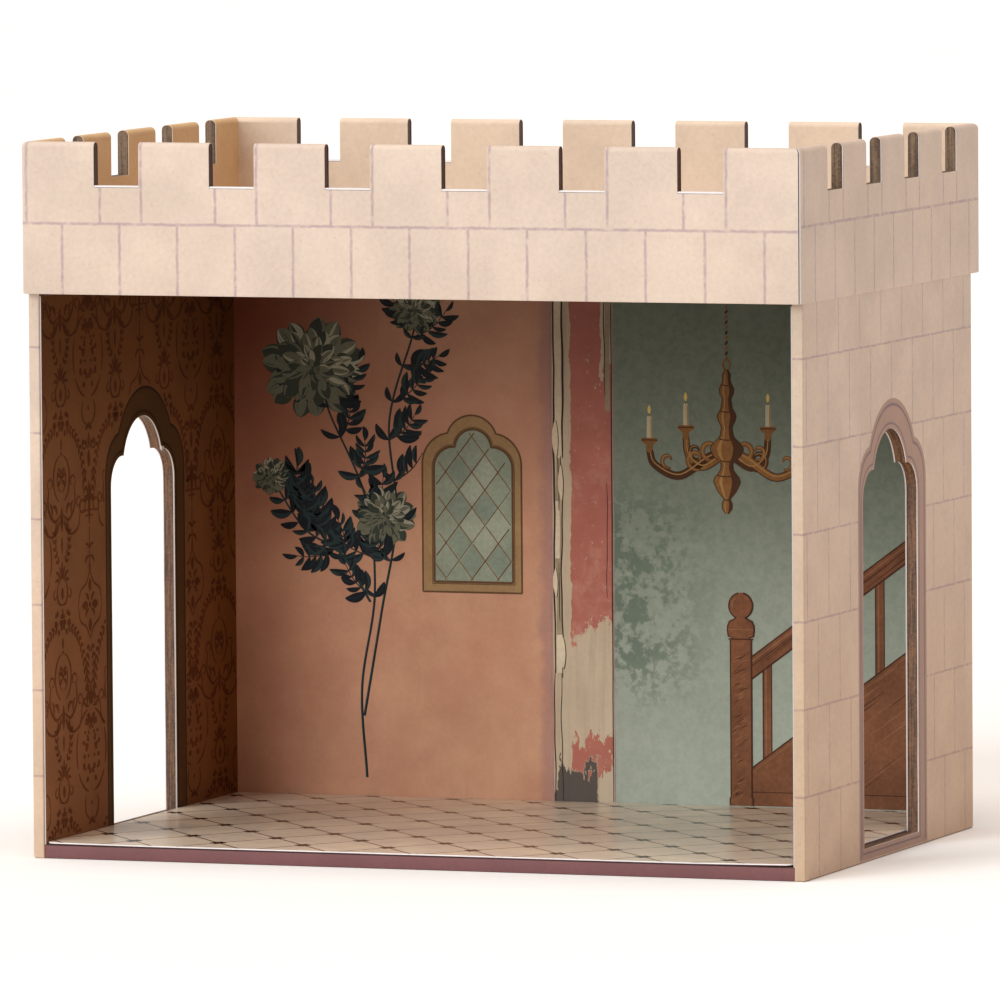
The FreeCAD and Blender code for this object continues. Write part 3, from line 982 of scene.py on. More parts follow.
@dataclass
class WallShell:
    """Left, back and right walls: one board folded at both back corners."""

    outer: float = 164.6
    inner: float = 160.0
    front: float = -112.5
    back: float = 109.0
    inner_back: float = 104.4
    height: float = 229.0
    fold: float = 2.5
    end_round: float = 0.6
    foot_round: float = 0.9
    paper: float = 0.30
    recess: float = 0.22
    print_end: float = 242.0
    back_print: float = 216.9
    slots: tuple[str, ...] = ("wall_stone", "edge_white", "door_core", "rim_pink", "rim_line",
                              "fold_stone")

    def foot_rows(self) -> Array:
        """Heights of the rounded bottom edge's rows."""
        return np.array([0.0, 0.07, 0.26, 0.52, self.foot_round])

    def tuck(self, z: Array) -> Array:
        """How far the rounded bottom edge is drawn in at height z: r - sqrt(r^2 - (r-z)^2)."""
        r = self.foot_round
        return r - np.sqrt(np.maximum(r**2 - (r - np.minimum(z, r)) ** 2, 0))

    def rows(self) -> Array:
        """Heights of all rows, foot first."""
        flat = self.foot_round + (self.height - self.foot_round) * SIDE_ROWS
        return np.concatenate([self.foot_rows()[:-1], flat])

    def side_face(self, surface: Surface, side: float, x: float, outside: bool) -> None:
        """One face of a side wall, round its door, with the printed surround as rings.

        Args:
            surface: The mesh to add to.
            side: 1 for the right wall, -1 for the left.
            x: How far out the face is.
            outside: Whether it is the printed outer face.
        """
        foot = self.foot_round
        low = self.front + self.end_round
        arches = [DOOR, DOOR.grown(1.7), DOOR.grown(2.6), DOOR_SURROUND.grown(-3.1),
                  DOOR_SURROUND.grown(-1.9), DOOR_SURROUND]
        feet = [DOOR_SILL, 3.9, 3.1, 2.1, 1.5, foot]
        loops = [np.vstack([a.outline(z), self.sill_points(a, z)])
                 for a, z in zip(arches, feet)]
        rings = np.stack(loops)
        tones = np.array([3, 4, 3, 4, 3])[:, None] * np.ones(rings.shape[1], int)
        tones[2:, -12:] = 3
        edge = frame_outline(low, self.inner_back, foot, self.height, SIDE_ROWS, TOP_STEPS)
        wide = np.stack([arches[-1].outline(foot), edge])
        for flat, tone, wrap in ((rings, tones, True), (wide, 0, False)):
            at = np.full(flat.shape[:-1], side * x)
            points = np.stack([at, flat[..., 0], flat[..., 1]], -1)
            surface.grid(points, tone if outside else 2, self.sheet(flat, side), wrap)

    def sill_points(self, arch: Arch, z: float) -> Array:
        """Points along the sill from an arch's right foot back to its left, ends left out."""
        return line((arch.middle + arch.half, z), (arch.middle - arch.half, z), 13)[1:-1]

    def sheet(self, flat: Array, side: float) -> Array:
        """Where points of a side wall lie on the printed sheet."""
        along = flat[..., 0] - self.front
        u = along if side > 0 else self.print_end - along
        return np.stack([u, flat[..., 1]], -1)

    def foot_stations(self) -> Array:
        """Places along a side wall where its faces' lowest edges have points."""
        return np.concatenate([[self.front + self.end_round],
                               line((DOOR_SURROUND.middle - DOOR_SURROUND.half,),
                                    (DOOR_SURROUND.middle + DOOR_SURROUND.half,), 13)[:, 0],
                               [self.inner_back]])

    def reveal(self, surface: Surface, side: float) -> None:
        """The cut through the board round a door: paper, raw board drawn back, paper.

        Args:
            surface: The mesh to add to.
            side: 1 for the right wall, -1 for the left.
        """
        t, b = self.paper, 0.05
        steps = [(self.outer, 0), (self.outer - t, 0), (self.outer - t - b, self.recess),
                 (self.inner + 0.30 + b, self.recess), (self.inner + 0.30, 0),
                 (self.inner, 0)]
        columns = []
        for number, (x, depth) in enumerate(steps):
            arch, z = DOOR.grown(depth), DOOR_SILL - depth
            loop = np.vstack([arch.outline(z), self.sill_points(arch, z)])
            turn = np.linspace(0, 2 * np.pi, len(loop), endpoint=False)
            ragged = 0.07 * (np.sin(9 * turn + 1) + np.sin(23 * turn) + np.sin(41 * turn + 2))
            inside = 0 < number < len(steps) - 1
            at = side * (x + (ragged if inside and number > 2 else 0.4 * ragged * inside))
            columns.append(np.stack([np.broadcast_to(at, len(loop)), loop[:, 0], loop[:, 1]],
                                    -1))
        surface.grid(np.stack(columns), np.array([1, 1, 2, 2, 2])[:, None], wrap=True)

    def front_end(self) -> tuple[Array, Array]:
        """A side wall's front edge in plan, from its outer face round to its inner.

        Returns:
            The points as (distance out, y), and the outward directions.
        """
        r = self.end_round
        first = arc((self.outer - r, self.front + r), r, 0, -90, 6)
        last = arc((self.inner + r, self.front + r), r, -90, -180, 6)
        way = np.vstack([arc((0, 0), 1, 0, -90, 6), arc((0, 0), 1, -90, -180, 6)])
        return np.vstack([first, last]), way

    def back_path(self) -> tuple[Array, Array]:
        """The outer face in plan from the right wall round the back to the left wall.

        Returns:
            The points, and the outward directions.
        """
        r, c = self.fold, self.back - self.fold
        right = np.vstack([[(self.outer, self.inner_back)],
                           arc((self.outer - r, c), r, 0, 90, 7), [(self.inner, self.back)]])
        way = np.vstack([[(1, 0)], arc((0, 0), 1, 0, 90, 7), [(0, 1)]])
        flip = np.array([-1, 1])
        middle = line((self.inner, self.back), (-self.inner, self.back), 9)[1:-1]
        return (np.vstack([right, middle, right[::-1] * flip]),
                np.vstack([way, np.tile([0, 1], (7, 1)), way[::-1] * flip]))

    def upright(self, plan: Array, way: Array, rows: Array, ease: Array | float = 1.0) -> Array:
        """A plan line raised through the rows, drawn in near the foot along way."""
        tuck = self.tuck(rows)[:, None, None] * np.broadcast_to(ease, len(plan))[None, :, None]
        flat = plan[None] - tuck * way[None]
        z = np.broadcast_to(rows[:, None], flat.shape[:2])
        return np.concatenate([flat, z[..., None]], -1)

    def build(self, palette: Palette) -> bpy.types.Object:
        """Makes the shell.

        Args:
            palette: The finishes.

        Returns:
            The object.
        """
        surface = Surface("folded_wall_shell")
        rows, foot = self.rows(), self.foot_rows()
        across = []
        for side in (1.0, -1.0):
            mirror = np.array([side, 1, 1])
            self.side_face(surface, side, self.outer, True)
            self.side_face(surface, side, self.inner, False)
            self.reveal(surface, side)
            plan, way = self.front_end()
            share = (self.outer - plan[:, 0]) / (self.outer - self.inner)
            points = self.upright(plan, way, rows, 1 - share**4)
            along = -np.concatenate([[0], np.cumsum(np.hypot(*np.diff(plan, axis=0).T))])
            u = along if side > 0 else self.print_end - along
            map_at = np.stack([np.broadcast_to(u, points.shape[:2]), points[..., 2]], -1)
            # The right wall's front edge takes the darker copy of the wall paper: painted shade.
            surface.grid(points * mirror, 5 if side > 0 else 0, map_at)
            stations = self.foot_stations()
            for x, ease, tone in ((self.outer, 1.0, 0), (self.inner, 0.0, 2)):
                low = self.upright(np.stack([np.full_like(stations, x), stations], -1),
                                   np.tile([1.0, 0.0], (len(stations), 1)), foot, ease)
                surface.grid(low * mirror, tone, self.sheet(low[..., 1:], side))
            across.append(self.end_cap(surface, points, mirror))
        self.back_wall(surface, rows)
        self.caps(surface, across)
        return surface.piece([palette[name] for name in self.slots], "stone_board",
                             "wall_shell")

    def end_cap(self, surface: Surface, points: Array, mirror: Array) -> list[Array]:
        """Closes a front edge's foot and top, back to the line where the flat faces begin.

        Args:
            surface: The mesh to add to.
            points: The front edge's grid.
            mirror: Turns the right side into the left.

        Returns:
            The shares across the board of its points, at the foot and at the top.
        """
        shares = []
        for row in (points[0], points[-1]):
            inner = row.copy()
            inner[:, 1] = self.front + self.end_round
            surface.grid(np.stack([row, inner]) * mirror, 0)
            shares.append((row[0, 0] - row[:, 0]) / (row[0, 0] - row[-1, 0]))
        return shares

    def back_wall(self, surface: Surface, rows: Array) -> None:
        """The back wall and both folds, outside and inside."""
        plan, way = self.back_path()
        points = self.upright(plan, way, rows)
        along = np.concatenate([[0], np.cumsum(np.hypot(*np.diff(plan, axis=0).T))])
        map_at = np.stack([np.broadcast_to(along + self.back_print, points.shape[:2]),
                           points[..., 2]], -1)
        surface.grid(points, 0, map_at)
        inner = line((self.inner, self.inner_back), (-self.inner, self.inner_back), 9)
        surface.grid(self.upright(inner, np.zeros_like(inner), rows), 2)

    def caps(self, surface: Surface, across: list[list[Array]]) -> None:
        """Closes the board's foot and top between its two faces.

        Args:
            surface: The mesh to add to.
            across: For each side, the shares across the board at the foot and the top.
        """
        plan, way = self.back_path()
        tops = line((self.front + self.end_round,), (self.inner_back,), TOP_STEPS + 1)[:, 0]
        for level, z in ((0, 0.0), (1, self.height)):
            tuck = float(self.tuck(np.array(z)))
            stations = self.foot_stations() if level == 0 else tops
            out = np.stack([np.full_like(stations, self.outer - tuck), stations], -1)
            inn = np.stack([np.full_like(stations, self.inner), stations], -1)
            for side, shares in ((1.0, across[0][level]), (-1.0, across[1][level])):
                flat = out[:, None] + (inn - out)[:, None] * shares[None, :, None]
                z_at = np.full(flat.shape[:2] + (1,), z)
                surface.grid(np.concatenate([flat, z_at], -1) * (side, 1, 1), 2)
            outer = plan - tuck * way
            corner = np.array([self.inner, self.inner_back])
            n = len(plan)
            inner = np.vstack([np.tile(corner, (9, 1)),
                               line(corner, corner * (-1, 1), 9)[1:-1],
                               np.tile(corner * (-1, 1), (9, 1))])
            shares = across[0][level]
            flat = outer[:, None] + (inner - outer)[:, None] * shares[None, :, None]
            surface.grid(np.concatenate([flat, np.full((n, len(shares), 1), z)], -1), 2)


@dataclass
class Crown:
    """The battlement: one strip folded round three corners, its ends open at the fourth."""

    half_width: float = 165.0
    half_depth: float = 117.5
    board: float = 5.0
    foot: float = 229.0
    top: float = 290.5
    crenel_floor: float = 272.2
    course: float = 257.6
    side_rise: float = 1.8
    pitch: float = 49.6
    crenel: float = 19.35
    front_first: float = -124.0
    side_first: float = -71.9
    fold: float = 1.2
    rim: float = 2.2
    seam: float = 0.354
    paper: float = 0.24
    recess: float = 0.20
    worn: float = 1.7
    side_print: float = 496.0
    side_shift: float = 0.8
    other_upper: float = 400.0
    right_lower: tuple[float, float] = (494.6, 0.99)
    right_upper: float = 492.0
    slots: tuple[str, ...] = ("crown_stone", "edge_white", "crown_core", "lining",
                              "crown_core_dark", "kraft")

    def crenel_edges(self, first: float, count: int) -> Array:
        """Both edges of each crenel along one side, in order."""
        middles = first + self.pitch * np.arange(count)
        return np.stack([middles - self.crenel / 2, middles + self.crenel / 2], -1).ravel()

    def ring(self) -> tuple[Array, Array, Array, Array, Array]:
        """The strip in plan, from the seam along the front, left, back and right.

        Returns:
            Outer points, inner points, the two print coordinates (for the lower and the
            upper course) and, for each step, whether it is a crenel.
        """
        w, d, b, r, s = (self.half_width, self.half_depth, self.board, self.fold, self.seam)
        long_cuts = self.crenel_edges(self.front_first, 6)
        side_cuts = self.crenel_edges(self.side_first, 4)
        corner = arc((-w + r, -d + r), r, -90, -180, 6)
        parts: list[tuple[Array, Array, Array, bool]] = []

        def flat(points: Array, shift: Array, distance: Array, upper: Array | float) -> None:
            """Adds a straight run."""
            parts.append((points, points + shift, np.stack([distance, distance + upper], -1),
                          True))

        def bend(points: Array, inner: tuple[float, float], distance: Array,
                 upper: float) -> None:
            """Adds a corner, whose inner line is one point."""
            parts.append((points, np.tile(inner, (len(points), 1)),
                          np.stack([distance, distance + upper], -1), False))

        x = np.concatenate([[w - b - s], long_cuts[::-1], [-w + b]])
        front = np.stack([x, np.full_like(x, -d)], -1)
        seam_start = np.array([[w - s, -d]])
        parts.append((seam_start, np.array([[w - b - s, -d + b]]),
                      np.array([[2 * w - s, 2 * w - s]]), False))
        flat(front, np.array([0, b]), x + w, 0.0)
        bend(corner, (-w + b, -d + b), corner[:, 0] + w, 0.0)
        y = np.concatenate([[-d + b], side_cuts, [d - b]])
        turned, moved_up, shift = self.side_print, self.other_upper, self.side_shift
        flat(np.stack([np.full_like(y, -w), y], -1), np.array([b, 0]),
             turned + shift - (y + d), moved_up - shift - 3.0)
        bend(corner[::-1] * (1, -1), (-w + b, d - b), turned - 2 * d + corner[::-1, 0] - r,
             moved_up)
        x = x[::-1].copy()
        x[-1] = w - b
        flat(np.stack([x, np.full_like(x, d)], -1), np.array([0, -b]), x + w + 2 * turned, 0.0)
        bend(corner * (-1, -1), (w - b, d - b), 2 * turned + w - corner[:, 0], 0.0)
        y = np.concatenate([[-d + b + s], side_cuts, [d - b]])[::-1]
        low_u, high_u = self.right_print(y)
        flat(np.stack([np.full_like(y, w), y], -1), np.array([-b, 0]), low_u, high_u - low_u)
        y = np.array([-d + s + self.worn, -d + s])
        parts.append((np.stack([np.full_like(y, w), y], -1),
                      np.tile([w - b, -d + b + s], (2, 1)),
                      np.stack(self.right_print(y), -1), False))
        outer = np.vstack([p[0] for p in parts])
        inner = np.vstack([p[1] for p in parts])
        sheet = np.vstack([p[2] for p in parts])
        gap = np.hypot(*(outer[1:] - outer[:-1]).T)
        moved = np.hypot(*(inner[1:] - inner[:-1]).T)
        cut = (np.abs(gap - self.crenel) < 1e-6) & (moved > 1)
        return outer, inner, sheet[:, 0], sheet[:, 1], cut

    def right_print(self, y: Array) -> tuple[Array, Array]:
        """Print coordinates of the right side's lower and upper course at the places y."""
        along = y + self.half_depth
        return self.right_lower[0] + self.right_lower[1] * along, self.right_upper + along

    def rise(self, outer: Array) -> Array:
        """How much higher the course line is printed at each point: only on the right."""
        return np.where(outer[:, 0] > self.half_width - 0.01, self.side_rise, 0.0)

    def bed_heights(self, along_x: bool) -> Array:
        """A crenel's bed above its edge, from the paper's inner rim to the middle.

        The front and back beds are torn up into a ridge, painted white as a painted highlight of
        the sheen they catch; the others lie a bit low.
        """
        return np.array([0.18, 0.74, 0.86] if along_x else [-0.06, -0.20, -0.20])

    def section(self, inset: float = 0.0) -> Array:
        """A merlon's cross-section from its outer foot over the rounded top to its inner.

        Args:
            inset: How far inside the paper the line runs.

        Returns:
            Points as (share across the board, height).
        """
        share, r = inset / self.board, self.rim - inset
        low = (self.rim / self.board, self.top - self.rim)
        over = arc(low, (r / self.board, r), 180, 90, 7)
        left = np.vstack([[(share, self.crenel_floor)], over])
        return np.vstack([left, left[::-1] * (-1, 1) + (1, 0)])

    def spine(self) -> Array:
        """The line up the middle of a cut face, with a point for each of the section's."""
        z = np.minimum(self.section()[:, 1], self.top - self.rim)
        return np.stack([np.full_like(z, 0.5), z], -1)

    def place(self, outer: Array, inner: Array, section: Array) -> Array:
        """Sweeps a section along the strip: outer + (inner - outer) times its share."""
        flat = outer[:, None] + (inner - outer)[:, None] * section[None, :, :1]
        z = np.broadcast_to(section[None, :, 1:], flat.shape[:2] + (1,))
        return np.concatenate([flat, z], -1)

    def cut_face(self, surface: Surface, outer: Array, inner: Array, way: Array) -> None:
        """A merlon's cut side: a paper line round raw board that is drawn back a little. On the
        front and back strips the board takes its darker copy, painted shade.

        Args:
            surface: The mesh to add to.
            outer: The outer point, 2 numbers.
            inner: The inner point.
            way: Direction into the merlon along the strip.
        """
        along_x = abs(way[0]) > 0.5
        lines = [self.section(), self.section(self.paper), self.section(self.paper + 0.02),
                 self.section(self.paper + 0.07), self.spine()]
        points = []
        for number, (section, lift) in enumerate(zip(lines, [0, 0, *self.bed_heights(along_x)])):
            section[[0, -1], 1] += lift
            row = self.place(outer[None], inner[None], section)[0]
            row[:, :2] += way * (self.recess if number > 1 else 0.0)
            points.append(row)
        paper = np.full(len(lines[0]) - 1, 3)
        paper[:2] = 1
        # Painted shade: the front and back merlons' cut faces take the darker board.
        core = np.full_like(paper, 4 if along_x else 2)
        surface.grid(np.stack(points), np.stack([paper, core, core, core]))

    def crenel_bed(self, surface: Surface, outer: Array, inner: Array, way: Array) -> None:
        """A crenel's floor: paper, board, paper. On the front and back beds the board is painted
        white, a painted highlight of their sheen, with thin lines of painted shade beside the
        paper.

        Args:
            surface: The mesh to add to.
            outer: The outer points at both ends, 2 by 2.
            inner: The inner points.
            way: Direction from the first end to the last.
        """
        along_x = abs(way[0]) > 0.5
        half = np.array([0, self.paper, self.paper + 0.02, self.paper + 0.07]) / self.board
        shares = np.concatenate([half, [0.5], 1 - half[::-1]])
        lift = np.concatenate([[0, 0], self.bed_heights(along_x)])
        lift = np.concatenate([lift, lift[-2::-1]])
        deep = np.array([0, 0, 1, 1, 1, 1, 1, 0, 0]) * self.recess
        flat = outer[:, None] + (inner - outer)[:, None] * shares[None, :, None]
        flat += np.array([-1.0, 1.0])[:, None, None] * deep[None, :, None] * way
        z = np.broadcast_to((self.crenel_floor + lift)[None, :, None], flat.shape[:2] + (1,))
        # Painted highlight: the front and back beds are white, with thin lines of painted shade
        # beside the paper.
        tones = [1, 4, 1, 1, 1, 1, 4, 1] if along_x else [1, 2, 2, 2, 2, 2, 2, 1]
        surface.grid(np.concatenate([flat, z], -1), np.array(tones)[None, :])

    def build(self, palette: Palette) -> bpy.types.Object:
        """Makes the crown: two printed bands, merlons, crenels, foot and seam.

        Args:
            palette: The finishes.

        Returns:
            The object.
        """
        surface = Surface("crenellated_crown")
        outer, inner, lower, upper, cut = self.ring()
        low = np.array([(0.4 / self.board, self.foot), (0.12 / self.board, self.foot + 0.12),
                        (0.0, self.foot + 0.4), (0.0, self.course)])
        high = np.array([(0.0, self.course), (0.0, self.crenel_floor)])
        tone = np.zeros((len(cut), 1), int)
        tone[-1] = 1
        rise = self.rise(outer)[:, None]
        middle = np.abs(outer[1:, :1] + outer[:-1, :1]) / 2
        lining = np.where(middle > self.half_width - 0.01, 5, 3)
        for section, u, share in ((low, lower, False), (high, upper, False),
                                  (low * (0, 1) + (1, 0), lower, True),
                                  (high * (0, 1) + (1, 0), upper, True)):
            points = self.place(outer, inner, section)
            points[..., 2] += rise * (np.abs(section[:, 1] - self.course) < 1e-6)
            sheet = np.stack([np.broadcast_to(u[:, None], points.shape[:2]),
                              points[..., 2] - rise], -1)
            surface.grid(points, lining if share else tone, sheet)
        a = self.paper / self.board
        shares = np.array([low[0, 0], low[0, 0] + a, 0.5, 1 - a, 1])
        foot = np.stack([shares, np.full_like(shares, self.foot)], -1)
        surface.grid(self.place(outer, inner, foot), np.array([1, 2, 2, 1])[None, :])
        self.merlons(surface, outer, inner, upper, cut, tone, lining)
        self.seam_faces(surface, outer, inner, low, shares)
        return surface.piece([palette[name] for name in self.slots], "stone_board",
                             "battlement")

    def merlons(self, surface: Surface, outer: Array, inner: Array, upper: Array,
                cut: Array, tone: Array, lining: Array) -> None:
        """All merlons and crenels above the crenels' floor.

        Args:
            surface: The mesh to add to.
            outer: The strip's outer points.
            inner: Its inner points.
            upper: Its print coordinate.
            cut: Which steps are crenels.
            tone: Finish of each step's outer face.
            lining: Finish of each step's inner face.
        """
        section = self.section()
        starts = np.flatnonzero(cut)
        bounds = np.concatenate([[-1], starts, [len(cut)]])
        for first, last in zip(bounds[:-1] + 1, bounds[1:]):
            run = slice(first, last + 1)
            points = self.place(outer[run], inner[run], section)
            sheet = np.stack([np.broadcast_to(upper[run, None], points.shape[:2]),
                              points[..., 2]], -1)
            shade = np.broadcast_to(tone[first:last], (last - first, len(section) - 1)).copy()
            shade[:, 5:8] = 0
            shade[:, 8:] = lining[first:last]
            surface.grid(points, shade, sheet)
        for step in starts:
            ends = slice(step, step + 2)
            way = outer[step + 1] - outer[step]
            way = way / np.hypot(*way)
            self.crenel_bed(surface, outer[ends], inner[ends], way)
            self.cut_face(surface, outer[step], inner[step], -way)
            self.cut_face(surface, outer[step + 1], inner[step + 1], way)

    def seam_faces(self, surface: Surface, outer: Array, inner: Array, low: Array,
                   shares: Array) -> None:
        """The strip's two mitred ends, each a fan from its outline to its spine. The front's
        end, in the seam, takes the darker board: painted shade.

        Args:
            surface: The mesh to add to.
            outer: The strip's outer points.
            inner: Its inner points.
            low: The lower band's section.
            shares: The foot's shares across the board.
        """
        inside = low[::-1] * (0, 1) + (1, 0)
        line_out = np.vstack([low, self.section(), inside])
        a = self.paper / self.board
        near = self.section(self.paper)
        left = low + (a, 0)
        left[0, 0] = shares[1]
        right = inside - (a, 0)
        line_in = np.vstack([left, near, right])
        spine = np.stack([np.full(len(line_out), 0.5),
                          np.minimum(line_out[:, 1], self.top - self.rim)], -1)
        # Painted shade: the front's mitred end, in the seam, takes the darker board.
        for end, tones in ((0, (4, 4)), (-1, (1, 2))):
            rows = [self.place(outer[[end]], inner[[end]], section)[0]
                    for section in (line_out, line_in, spine)]
            for row in rows:
                row[[len(low) - 1, -len(low)], 2] += self.rise(outer[[end]])[0]
            surface.grid(np.stack(rows), np.array(tones)[:, None])


@dataclass
class Floor:
    """The floor board in plum paper and the tile card that lies on it."""

    board_half: float = 160.0
    board_y: tuple[float, float] = (-112.0, 104.4)
    board_top: float = 5.5
    card_half: float = 159.1
    card_y: tuple[float, float] = (-111.9, 103.5)
    card: float = 0.8
    corner: float = 3.0
    curls: tuple[tuple[float, float, float], ...] = ((-1.0, 0.3, 16.0), (1.0, 0.6, 20.0))

    def board(self, palette: Palette) -> bpy.types.Object:
        """Makes the board, with its paper turned softly over the edges."""
        surface = Surface("plum_floor_board")
        outline = rounded_box((-self.board_half, self.board_y[0]),
                              (self.board_half, self.board_y[1]), (0.4, 0.4), 3)
        high = self.board_top
        edge = [(0.9, high), (0.45, high - 0.1), (0.12, high - 0.4), (0, high - 0.9),
                (0, 0.6), (0.15, 0.18), (0.5, 0.0)]
        slab(surface, outline, edge, (1.0, 0.5, 0.0), 0, np.array([1, 1, 0, 0, 0, 0])[:, None],
             0)
        return surface.piece([palette["plum"], palette["plum_shadow"]], "plum_board",
                             "floor_board")

    def tile_card(self, palette: Palette) -> bpy.types.Object:
        """Makes the card, whose front corners have curled up a little."""
        surface = Surface("tile_floor_card")
        outline = rounded_box((-self.card_half, self.card_y[0]),
                              (self.card_half, self.card_y[1]), (self.corner, 0.5), 8)
        low, high = self.board_top, self.board_top + self.card

        def curled(flat: Array, height: Array) -> Array:
            """Lifts points near the front corners: rise (1 - distance / reach) squared."""
            up = height.copy()
            for side, rise, reach in self.curls:
                away = np.hypot(flat[:, 0] - side * self.card_half,
                                flat[:, 1] - self.card_y[0])
                up += rise * np.clip(1 - away / reach, 0, 1) ** 2
            return np.concatenate([flat, up[:, None]], -1)

        edge = [(0.12, high), (0.03, high - 0.06), (0, high - 0.2), (0, low + 0.33),
                (0.25, low)]
        shares = (1.0, 0.99, 0.98, 0.965, 0.95, 0.93, 0.90, 0.86, 0.75, 0.4, 0.0)
        slab(surface, outline, edge, shares, 0, np.array([1, 1, 1, 2])[:, None], 2, curled)
        return surface.piece([palette["tiles"], palette["edge_white"],
                              palette["plum_shadow"]], "tile_card", "floor_card")


@dataclass
class SideCard:
    """The damask card inside a side wall, with the door's printed inner surround."""

    side: float
    node: str
    face: float = 159.4
    rear: float = 160.0
    low: float = -111.7
    high: float = 103.8
    foot: float = 5.5
    top: float = 227.8

    def build(self, palette: Palette) -> bpy.types.Object:
        """Makes the card.

        Args:
            palette: The finishes.

        Returns:
            The object.
        """
        surface = Surface(self.node.replace("wall_card", "damask_card"))
        arches = [DOOR, DOOR.grown(1.5), DOOR.grown(2.4), DOOR_SURROUND.grown(-1.1),
                  DOOR_SURROUND]
        rings = [a.outline(self.foot) for a in arches]
        rings.append(frame_outline(self.low, self.high, self.foot, self.top, SIDE_ROWS,
                                   TOP_STEPS))
        flat = np.stack(rings)
        tones = np.array([2, 3, 2, 3, 0])[:, None]
        sheets = [np.stack([np.full(flat.shape[:2], self.side * x), flat[..., 0],
                            flat[..., 1]], -1) for x in (self.face, self.rear)]
        surface.plate(sheets[0], sheets[1], tones, 1, 1)
        return surface.piece([palette[n] for n in ("damask_ground", "card_edge", "olive",
                                                   "olive_line")],
                             "damask_card", self.node)


@dataclass
class FlatBoards:
    """The roof board and the back wall's card."""

    def roof(self, palette: Palette) -> bpy.types.Object:
        """Makes the roof board between the crown's sides."""
        surface = Surface("paper_roof_board")
        outline = rounded_box((-160.0, -112.5), (160.0, 112.5), (0.3, 0.3), 3)
        edge = [(0.3, 234.0), (0, 233.7), (0, 229.3), (0.3, 229.0)]
        slab(surface, outline, edge, (1.0, 0.5, 0.0), 0, 0, 0)
        return surface.piece([palette["tan"]], "roof_board", "roof_board")

    def back_card(self, palette: Palette) -> bpy.types.Object:
        """Makes the printed card inside the back wall."""
        surface = Surface("mural_card")
        outline = rounded_box((-160.0, 5.5), (160.0, 227.8), (0.2, 0.2), 3)

        def upright(flat: Array, depth: Array) -> Array:
            """Stands a flat card up, its depth along y."""
            return np.stack([flat[:, 0], depth, flat[:, 1]], -1)

        slab(surface, outline, [(0.0, 103.8), (0.0, 104.4)], (1.0, 0.5, 0.0), 0, 1, 1,
             upright)
        return surface.piece([palette["mural"], palette["edge_white"]], "mural_card",
                             "back_wall_card")


# --- Drawings -------------------------------------------------------------------------


Stroke = tuple[Array, Array]


def mirrored(strokes: list[Stroke]) -> list[Stroke]:
    """The strokes and their mirror images about p = 0."""
    return strokes + [(path * (-1, 1), width) for path, width in strokes]


def leaf(base: tuple[float, float], angle: float, length: float, width: float,
         bend: float = 0.15, count: int = 9) -> Stroke:
    """A leaf's middle line and widths: length t along angle, bowed by bend sin(pi t).

    Args:
        base: Where it springs from.
        angle: Its direction, in degrees from the wall's level.
        length: Its length.
        width: Its greatest width.
        bend: How far it bows sideways, as a share of its length.
        count: Points along it.

    Returns:
        The path and its widths.
    """
    t = np.linspace(0, 1, count)
    a = math.radians(angle)
    along = np.array([math.cos(a), math.sin(a)])
    side = np.array([-along[1], along[0]])
    path = np.array(base) + length * (t[:, None] * along
                                      + (bend * np.sin(np.pi * t))[:, None] * side)
    return path, swell(count, width, 0.8)


def blob(at: tuple[float, float], size: float, angle: float = 0.0) -> Stroke:
    """A small rounded spot of ink, a little longer than it is wide."""
    path, _ = leaf(at, angle, size, 0.0, 0.0, 6)
    return path, swell(6, size * 0.8, 0.5)


def scroll(centre: tuple[float, float], radius: float, start: float, turns: float,
           width: float, count: int = 18) -> Stroke:
    """A pen scroll: radius (1 - 0.65 t) at angle start + 360 turns t about its centre."""
    t = np.linspace(0, 1, count)
    angle = np.radians(start) + 2 * np.pi * turns * t
    reach = radius * (1 - 0.65 * t)
    path = np.array(centre) + reach[:, None] * np.stack([np.cos(angle), np.sin(angle)], -1)
    return path, width * (0.35 + 0.65 * np.sin(np.pi * np.clip(t * 1.1, 0, 1)))


def covered(arch: Arch, points: Array, foot: float = -1e3) -> Array:
    """Which points lie inside an arch: between its jambs, or in a lobe, or in the head."""
    p, z = np.abs(points[..., 0] - arch.middle), points[..., 1]
    below = (p < arch.half) & (z < arch.springing) & (z > foot)
    lobe = np.hypot(p - arch.lobe_out, z - arch.springing) < arch.lobe
    head = np.hypot(p, z - arch.head_centre) < arch.head
    middle = (p < arch.lobe_out) & (z < arch.head_centre) & (z > foot)
    return below | ((lobe | head | middle) & (z > foot))


def longest_run(inside: Array) -> slice:
    """The longest unbroken stretch of points that are inside."""
    edges = np.flatnonzero(np.diff(np.concatenate([[0], inside.astype(int), [0]])))
    if not len(edges):
        return slice(0, 0)
    runs = edges.reshape(-1, 2)
    best = runs[np.argmax(runs[:, 1] - runs[:, 0])]
    return slice(int(best[0]), int(best[1]))


